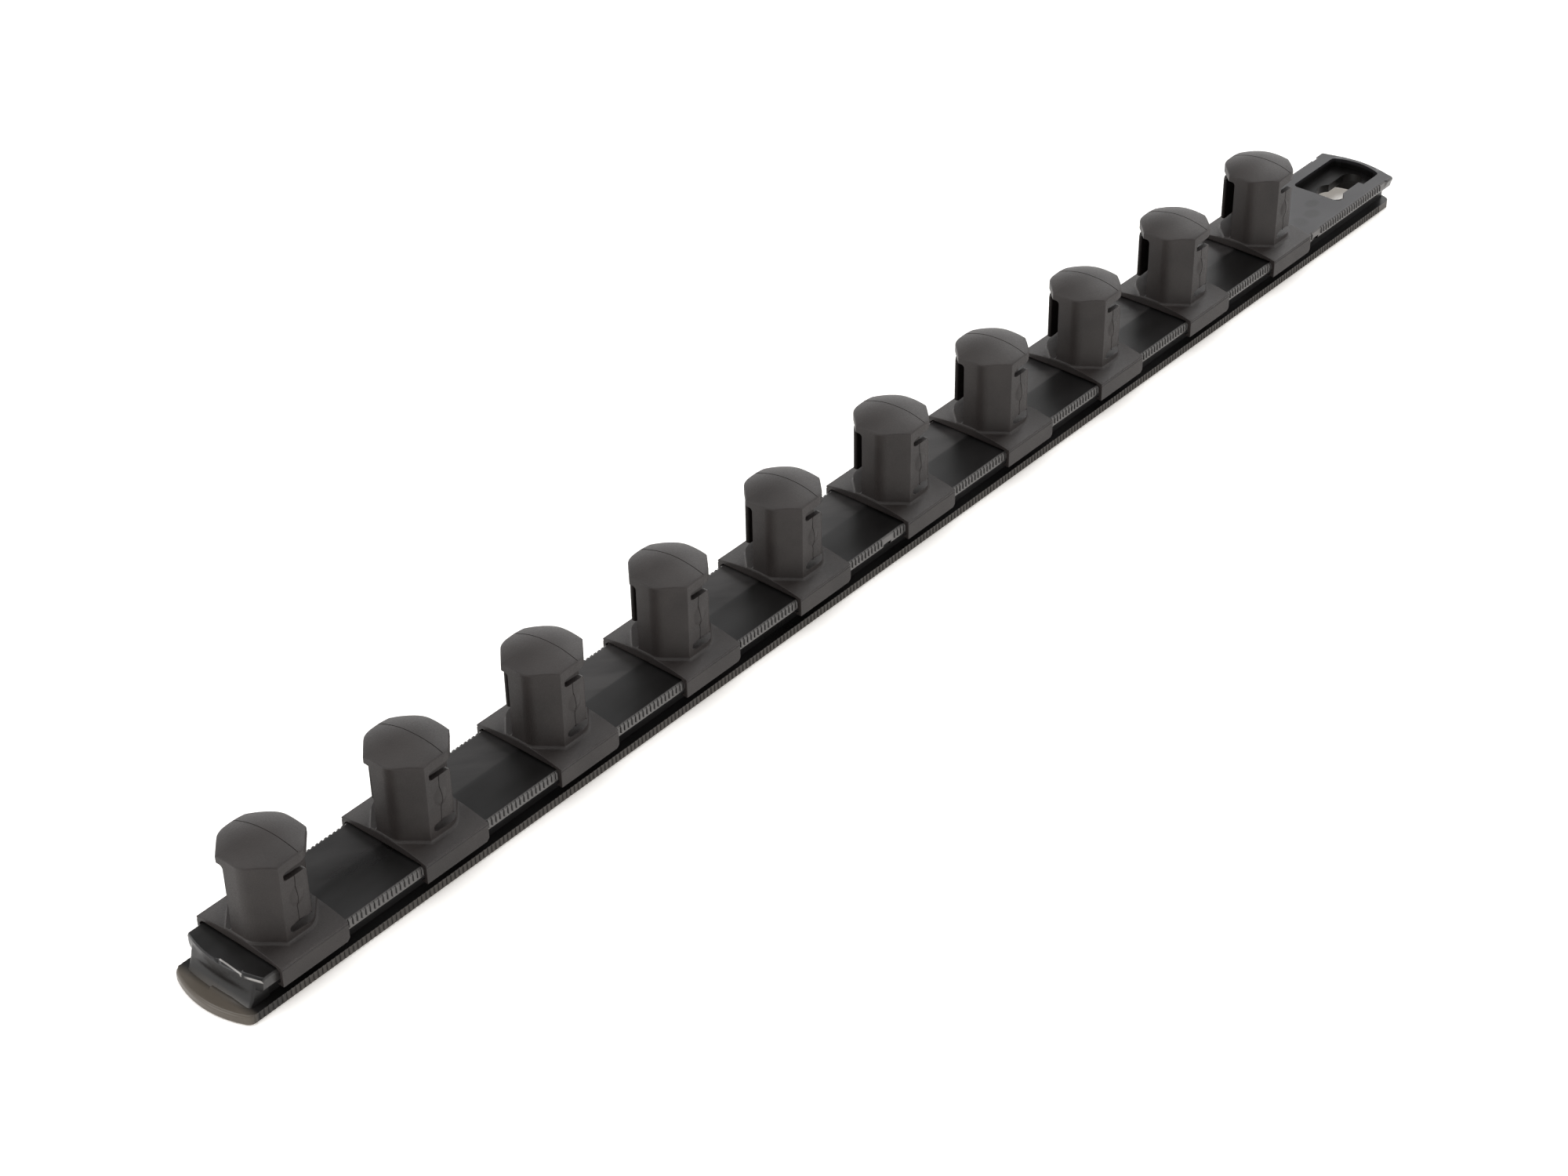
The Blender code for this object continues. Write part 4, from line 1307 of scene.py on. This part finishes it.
def post_mesh():
    """The post from its filleted foot on the crowned roof to its domed head."""
    plan = post_outline()
    limit = SADDLE_LENGTH / 2 - POST_FOOT_INSET

    def foot_ring(spread_out, rise):
        ring = []
        for x, y in plan:
            wide_x, wide_y = inset(x, y, -spread_out)
            wide_x = max(-limit, min(limit, wide_x))
            ring.append((wide_x, wide_y, roof_height(wide_y) + rise))
        return ring

    rings = [foot_ring(POST_FILLET, -POST_ROOT_DEPTH)]
    for spread_out, rise in quarter(FILLET_STEPS):
        rings.append(foot_ring(POST_FILLET * spread_out, POST_FILLET * rise))
    for drop, setback in quarter(RIM_STEPS):
        ring = []
        for x, y in plan:
            near_x, near_y = inset(x, y, HEAD_RIM_ROUNDING * setback)
            ring.append((near_x, near_y, dome_height(near_x, near_y) - HEAD_RIM_ROUNDING * drop))
        rings.append(ring)
    for ring_number in range(DOME_RINGS - 1, 0, -1):
        share = ring_number / DOME_RINGS
        rings.append([(x * share, y * share, dome_height(x * share, y * share)) for x, y in plan])
    return loft("post", rings, apex=(0, 0, HEAD_TOP_HEIGHT))


# %% [markdown]
# ### Side cores and leaves
#
# A spring leaf is what a side core of the mould wraps round. Modelling the core and cutting it out gives
# the window, the leaf and the thin wall behind it in one cut, with the draft that lets a core be pulled.
# The core's section changes along the pull: it is narrow and rounded at its blind end, passes the leaf's
# rounded free end, and is open beyond it.

# %% Leaf and core sizes
LEAF_BOTTOM = 0.0102
LEAF_HEEL_ROOT = 0.0001
LEAF_HEEL_TIP = 0.0007
LEAF_TOP = 0.0184
LEAF_ROOT_THICKNESS = 0.00105
LEAF_TIP_THICKNESS = 0.00085
LEAF_END = 0.0026
LEAF_TOP_ROUNDING = 0.0008
LEAF_BOTTOM_ROUNDING = 0.0003
LEAF_INNER_ROUNDING = 0.00045
LEAF_END_DRAFT = 0.0003
CORE_BLIND_END = -0.0018
CORE_LOW_DEEP = 0.0089
CORE_LOW_MOUTH = 0.0083
CORE_HIGH_DEEP = 0.0198
CORE_HIGH_MOUTH = 0.0202
CORE_WALL_DEEP = 0.00144
CORE_WALL_MOUTH = 0.00125
CORE_CORNER_RADIUS = 0.0006
CORE_END_LENGTH = 0.00075
CORE_END_NARROWING = 0.0004
CORE_END_START = math.radians(12)
CORE_END_STEPS = 5
LEAF_END_STEPS = 8
print("leaf from", mm(LEAF_BOTTOM), "to", mm(LEAF_TOP), "mm high")


# %% Section of a side core
def inner_trim(x):
    """How much the rounding of the leaf's inner edge takes off its thickness near the free end."""
    depth = max(0, LEAF_INNER_ROUNDING - (LEAF_END - x))
    return LEAF_INNER_ROUNDING - math.sqrt(max(0, LEAF_INNER_ROUNDING ** 2 - depth ** 2))


def core_section(x, narrowing, top_trim, bottom_trim, leaf_gone):
    """The (y, z) section of a side core, which wraps round the leaf above, behind and below it."""
    share = (x - CORE_BLIND_END) / (POST_HALF - CORE_BLIND_END)
    low = between(CORE_LOW_DEEP, CORE_LOW_MOUTH, share) + narrowing
    high = between(CORE_HIGH_DEEP, CORE_HIGH_MOUTH, share) - narrowing
    wall = -between(CORE_WALL_DEEP, CORE_WALL_MOUTH, share) - narrowing
    outer = -(POST_HALF + CUT_OVERRUN)
    leaf_share = (x - CORE_BLIND_END) / (LEAF_END - CORE_BLIND_END)
    thickness = between(LEAF_ROOT_THICKNESS, LEAF_TIP_THICKNESS, leaf_share) + narrowing
    thickness -= inner_trim(x)
    heel = between(LEAF_HEEL_ROOT, LEAF_HEEL_TIP, min(leaf_share, 1))
    leaf_high = LEAF_TOP + narrowing - top_trim
    leaf_low = LEAF_BOTTOM - narrowing + bottom_trim
    outer_low = leaf_low + heel * CUT_OVERRUN / thickness
    inner_low = leaf_low - heel
    leaf_face = -POST_HALF + thickness
    if leaf_gone:
        leaf_face = -(POST_HALF + CUT_OVERRUN / 2)
        outer_low = leaf_low
        inner_low = leaf_low
    corners = [
        (outer, low), (wall, low), (wall, high), (outer, high),
        (outer, leaf_high), (leaf_face, leaf_high), (leaf_face, inner_low), (outer, outer_low),
    ]
    return rounded(corners, {1: CORE_CORNER_RADIUS, 2: CORE_CORNER_RADIUS})


# %% Loft a side core
def core_mesh(side):
    """The core that frees one leaf: blind and round at the leaf's root, open past the leaf's end."""
    stations = []
    for narrowing, along in quarter(CORE_END_STEPS, CORE_END_START):
        x = CORE_BLIND_END + CORE_END_LENGTH * along
        stations.append((x, CORE_END_NARROWING * narrowing, 0, 0, False))
    for back, trim in quarter(LEAF_END_STEPS):
        x = LEAF_END - LEAF_TOP_ROUNDING * back
        stations.append((x, 0, LEAF_TOP_ROUNDING * trim, LEAF_BOTTOM_ROUNDING * trim, False))
    for x in (LEAF_END + LEAF_END_DRAFT, POST_HALF + CUT_OVERRUN):
        stations.append((x, 0, LEAF_TOP_ROUNDING, LEAF_BOTTOM_ROUNDING, True))
    rings = []
    for station in stations:
        x = station[0]
        rings.append([(x * side, y * side, z) for y, z in core_section(*station)])
    return loft("side_core", rings)


# %% [markdown]
# ### Snap bumps
#
# Each leaf has a low oval bump, which snaps into a socket. Its rings shrink over a flat dome, and the
# first ring lies inside the leaf, so that the union has something to join.

# %% Snap bumps
BUMP_HEIGHT_ABOVE_FOOT = 0.0147
BUMP_HALF_WIDTH = 0.0014
BUMP_HALF_HEIGHT = 0.00175
BUMP_RISE = 0.00035
BUMP_ROOT = 0.0004
BUMP_SIDES = 32
BUMP_RINGS = 6


def bump_height(share):
    return BUMP_RISE * (1 - share ** 2)


def bump_mesh(side):
    """The low oval bump on a leaf, which snaps into the dimple of a socket's square drive."""
    levels = [(1, -BUMP_ROOT)]
    levels += [(share, bump_height(share)) for share in spread(1, 1 / BUMP_RINGS, BUMP_RINGS - 1)]
    rings = []
    for share, depth in levels:
        ring = []
        for index in range(BUMP_SIDES):
            angle = 2 * math.pi * index / BUMP_SIDES
            x = BUMP_HALF_WIDTH * share * math.cos(angle)
            z = BUMP_HEIGHT_ABOVE_FOOT + BUMP_HALF_HEIGHT * share * math.sin(angle)
            ring.append((x * side, -(POST_HALF + depth) * side, z))
        rings.append(ring)
    return loft("bump", rings, apex=(0, -(POST_HALF + BUMP_RISE) * side, BUMP_HEIGHT_ABOVE_FOOT))


# %% [markdown]
# ### One clip
#
# The bodies are joined and cut in the mould's order. The wedge goes first, while the saddle is still
# plain. What is kept is a mesh only, from which all clips are copied later.

# %% Join one clip
def skirt_chamfer_mesh():
    """A wedge that takes the lower corner off both skirts at the saddle's far end."""
    end = SADDLE_LENGTH / 2
    corner = [
        (end - SKIRT_CHAMFER, SKIRT_BOTTOM - CUT_OVERRUN),
        (end + CUT_OVERRUN, SKIRT_BOTTOM - CUT_OVERRUN),
        (end + CUT_OVERRUN, SKIRT_BOTTOM + SKIRT_CHAMFER + CUT_OVERRUN),
        (end - SKIRT_CHAMFER, SKIRT_BOTTOM),
    ]
    reach = SADDLE_OUTER_HALF + CUT_OVERRUN
    return loft("skirt_chamfer", [[(x, y, z) for x, z in corner] for y in (-reach, reach)])


def make_clip_master():
    saddle = softened("saddle", saddle_mesh(), SADDLE_ROUNDING, SADDLE_EDGE_ANGLE)
    clip = add_object("clip_master", saddle)
    combine(clip, skirt_chamfer_mesh(), "DIFFERENCE")
    combine(clip, post_mesh(), "UNION")
    for side in (1, -1):
        combine(clip, core_mesh(side), "DIFFERENCE")
        combine(clip, bump_mesh(side), "UNION")
    shade(clip, clip_plastic)
    mesh = clip.data
    bpy.data.objects.remove(clip, do_unlink=True)
    return mesh


clip_master = make_clip_master()
print("one clip:", len(clip_master.polygons), "faces")

# %% [markdown]
# ## Parting lines
#
# Where the halves of a mould meet, they leave a fine line on the moulding. The line is coloured darker
# than the plastic round it: painted shade, which stands in for the shadow in its small step. On a clip it
# runs over the dome and down both leaves, where it wanders a little, and on the rail it runs along the
# middle of the near end. A Geometry Nodes tree sweeps each line from a path that lies on the surface. An
# attribute of the path says how far the line may wander at each point, and a seed makes every clip's
# line different.

# %% Parting line plastic, darkened with painted shade
# painted shade: the parting line is darker than the clip plastic, for the shadow in its step
SEAM_PAINTED_SHADE = (0.0055, 0.0048, 0.0044)
SEAM_ROUGHNESS = 0.7
SEAM_SPECULAR = 0.12


def make_seam_plastic():
    material, tree, shader, place = start_material("parting_line")
    grain = use_group(tree, grain_group, place, {"Grain Scale": 5000.0, "Cloud Scale": 150.0})
    cloud = remap(tree, grain["Cloud"], CLOUD_LIMITS)
    fill(tree, shader, {
        "Base Color": mix_colours(tree, cloud, SEAM_PAINTED_SHADE, CLIP_DARK),
        "Roughness": SEAM_ROUGHNESS,
        "Specular IOR Level": SEAM_SPECULAR})
    return material


# %% Parting line tree
SEAM_RADIUS = 0.00008
RAIL_SEAM_RADIUS = 0.00004
SEAM_SIDES = 8
SEAM_SINK = SEAM_RADIUS - SEAM_RISE
SEAM_STEP = 0.00025
WANDER_SCALE = 260.0
NOISE_MIDDLE = 0.5
SEAM_INPUTS = {"Path": None, "Radius": SEAM_RADIUS, "Direction": (1.0, 0.0, 0.0), "Seed": 0.0}


def wander_node(tree, given):
    """How far a point of the line is moved, which is half the path's allowance at most."""
    noise = add_node(tree, "ShaderNodeTexNoise", {
        "Vector": position_node(tree), "W": given["Seed"], "Scale": WANDER_SCALE, "Detail": 1.0},
        noise_dimensions="4D")
    allowance = add_node(tree, "GeometryNodeInputNamedAttribute", {"Name": "wander"}, data_type="FLOAT")
    share = math_node(tree, "SUBTRACT", noise.outputs["Fac"], NOISE_MIDDLE)
    sway = product(tree, share, allowance.outputs["Attribute"])
    values = {0: given["Direction"], "Scale": sway}
    return add_node(tree, "ShaderNodeVectorMath", values, operation="SCALE").outputs[0]


def make_seam_tree(material):
    tree, given, result, sockets = new_group(
        "parting_line", "GeometryNodeTree", SEAM_INPUTS, {"Geometry": None})
    even = add_node(tree, "GeometryNodeResampleCurve", {
        "Curve": path_curve(tree, given), "Length": SEAM_STEP}, mode="LENGTH")
    moved = add_node(tree, "GeometryNodeSetPosition", {
        "Geometry": even.outputs["Curve"], "Offset": wander_node(tree, given)})
    section = circle_node(tree, given["Radius"], SEAM_SIDES)
    end_tree(tree, result, sweep_node(tree, moved.outputs["Geometry"], section), material)
    return tree, sockets


# %% Paths of the parting lines
DOME_SEAM_SHIFT = 0.0009
DOME_SEAM_SLANT = 0.09
LEAF_WANDER = 0.0009
DOME_WANDER = 0.0002
PATH_STEPS = 40


def leaf_seam_path(side):
    """Up a leaf and over its bump."""
    chain = []
    for z in spread(LEAF_BOTTOM, LEAF_TOP, PATH_STEPS):
        share = min(1, abs(z - BUMP_HEIGHT_ABOVE_FOOT) / BUMP_HALF_HEIGHT)
        chain.append((0, -side * (POST_HALF + bump_height(share) - SEAM_SINK), z))
    return chain


def dome_seam_path():
    """Over the dome from rim to rim, a little off its middle and not quite square to the rail."""
    reach = POST_HALF - HEAD_RIM_ROUNDING
    chain = []
    for y in spread(-reach, reach, PATH_STEPS):
        x = DOME_SEAM_SHIFT - DOME_SEAM_SLANT * y
        chain.append((x, y, dome_height(x, y) - SEAM_SINK))
    return chain


def clip_seam_mesh():
    leaves = [leaf_seam_path(side) for side in (1, -1)]
    dome = dome_seam_path()
    wander = [LEAF_WANDER] * sum(len(chain) for chain in leaves) + [DOME_WANDER] * len(dome)
    return path_mesh("clip_seam", leaves + [dome], wander)


def rail_seam_mesh():
    """Along the deck from the first saddle to the near end, and down the near block's end face."""
    first = FIRST_LOW.x + SADDLE_LENGTH / 2
    edge = NEAR_END + DECK_NEAR_SETBACK
    bevel = DECK_NEAR_BEVEL_DROP * bevel_share(0)
    chain = [(x, 0, DECK_RIDGE_HEIGHT - SEAM_SINK) for x in spread(first, edge + bevel, END_STEPS)]
    chain.append((edge + SEAM_SINK, 0, DECK_RIDGE_HEIGHT - DECK_NEAR_BEVEL_DROP))
    for height, setback, _ in reversed(smooth_rows(BLOCK_LEVELS, BLOCK_STEPS)):
        chain.append((NEAR_END + setback + SEAM_SINK, 0, height))
    return path_mesh("rail_seam", [chain], [DOME_WANDER] * len(chain))


# %% The rail's parting line
seam_tree = make_seam_tree(make_seam_plastic())
rail_seam = grow("rail_parting_line", rail_seam_mesh(), seam_tree, Direction=(0.0, 1.0, 0.0),
                 Radius=RAIL_SEAM_RADIUS)
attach(rail_seam, "rail")
print("parting line on the rail:", len(rail_seam.data.polygons), "faces")

# %% [markdown]
# ## Ten clips
#
# All clips came out of one mould, so one mesh serves them all. It is copied and moved to the middle of
# each clip's node, inside the mesh, so that every object stays at the origin and the grain differs from
# clip to clip. Each moulding takes its node's place and rides on its body, and so does its parting line.

# %% Clips in their places
def clip_centre(node):
    low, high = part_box(node)
    return (low.x + high.x) / 2


for number, node in enumerate(CLIP_NODES):
    to_place = Matrix.Translation((clip_centre(node), 0, 0))
    mesh = clip_master.copy()
    mesh.transform(to_place)
    clip = add_object(node + "_moulding", mesh)
    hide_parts(node)
    seam = grow(node + "_parting_line", clip_seam_mesh(), seam_tree, Seed=float(number))
    seam.data.transform(to_place)
    for piece in (clip, seam):
        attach(piece, node)
bpy.data.meshes.remove(clip_master)
print(len(CLIP_NODES), "clips placed")

# %% [markdown]
# ## A small studio
#
# The object lies on a white floor in a white room. Black plastic shows what it mirrors, so the room is
# bright near the horizon and overhead and greyer in between: the deck turns lighter towards its far end,
# where it mirrors the lower wall. The floor glows a little, warmly, as a lit backdrop does. Four softboxes
# give the clips their soft lights: a key from the far end, a weaker fill from the near side, one from the
# near end, and a small one high over the far side, which catches the rims.

# %% Floor
FLOOR_HALF = 4.0
FLOOR_DROP = 0.0002
FLOOR_THICKNESS = 0.01
FLOOR_WHITE = (0.8, 0.8, 0.8)
FLOOR_GLOW = (1.0, 0.93, 0.84)
FLOOR_GLOW_STRENGTH = 0.3


def make_floor():
    plan = [(x * FLOOR_HALF, y * FLOOR_HALF) for x, y in ((-1, -1), (1, -1), (1, 1), (-1, 1))]
    floor = add_object("floor", upright("floor", plan, -FLOOR_DROP - FLOOR_THICKNESS, -FLOOR_DROP))
    material, tree, shader, _ = start_material("floor_white")
    fill(tree, shader, {
        "Base Color": opaque(FLOOR_WHITE),
        "Emission Color": opaque(FLOOR_GLOW),
        "Emission Strength": FLOOR_GLOW_STRENGTH,
        "Roughness": 0.9,
        "Specular IOR Level": 0.1})
    floor.data.materials.append(material)


make_floor()
print("floor", 2 * FLOOR_HALF, "m wide")

# %% Room
# brightness by the height of the direction, from 0 at the horizon to 1 overhead
ROOM_LEVELS = ((0.0, 2.1), (0.40, 1.9), (0.62, 0.16), (0.84, 0.16), (0.93, 3.2), (1.0, 3.2))
DIM_SIDE_X = (-0.5, 0.5)
DIM_SIDE_LEVEL = (0.75, 1.0)


def make_room():
    """A room whose brightness depends on the height above the horizon, and is dimmer on the -X side."""
    world = bpy.data.worlds.new("studio_room")
    bpy.context.scene.world = world
    world.use_nodes = True
    tree = world.node_tree
    direction = split_node(tree, add_node(tree, "ShaderNodeTexCoord").outputs["Generated"])
    curve = add_node(tree, "ShaderNodeValToRGB", {"Fac": direction["Z"]})
    ramp = curve.color_ramp
    while len(ramp.elements) < len(ROOM_LEVELS):
        ramp.elements.new(0.5)
    for element, (height, _) in zip(ramp.elements, ROOM_LEVELS):
        element.position = height
    for element, (_, level) in zip(ramp.elements, ROOM_LEVELS):
        element.color = (level, level, level, 1.0)
    fill(tree, tree.nodes["Background"], {
        "Color": curve.outputs["Color"],
        "Strength": remap(tree, direction["X"], DIM_SIDE_X, DIM_SIDE_LEVEL)})


make_room()
print("room with", len(ROOM_LEVELS), "levels of brightness")

# %% Softboxes
# name, place, the point it is aimed at, size in metres and power in watts
SOFTBOXES = (
    ("key_softbox", (1.15, 0.15, 1.1), (0, 0, 0), 0.7, 9.0),
    ("fill_softbox", (0.3, -1.4, 0.6), (0, 0, 0), 0.9, 4.6),
    ("side_softbox", (-1.3, 0.45, 0.35), (0, 0, 0), 0.6, 4.6),
    ("rim_softbox", (-0.686, 0.797, 1.28), (-0.15, 0, 0), 0.4, 6.0),
)

for name, place, aim, size, power in SOFTBOXES:
    data = bpy.data.lights.new(name, "AREA")
    data.shape = "SQUARE"
    data.size = size
    data.energy = power
    lamp = bpy.data.objects.new(name, data)
    bpy.context.collection.objects.link(lamp)
    lamp.location = place
    lamp.rotation_mode = "QUATERNION"
    lamp.rotation_quaternion = (Vector(aim) - Vector(place)).to_track_quat("-Z", "Y")
bpy.context.scene.view_settings.view_transform = "Standard"
print(len(SOFTBOXES), "softboxes placed")
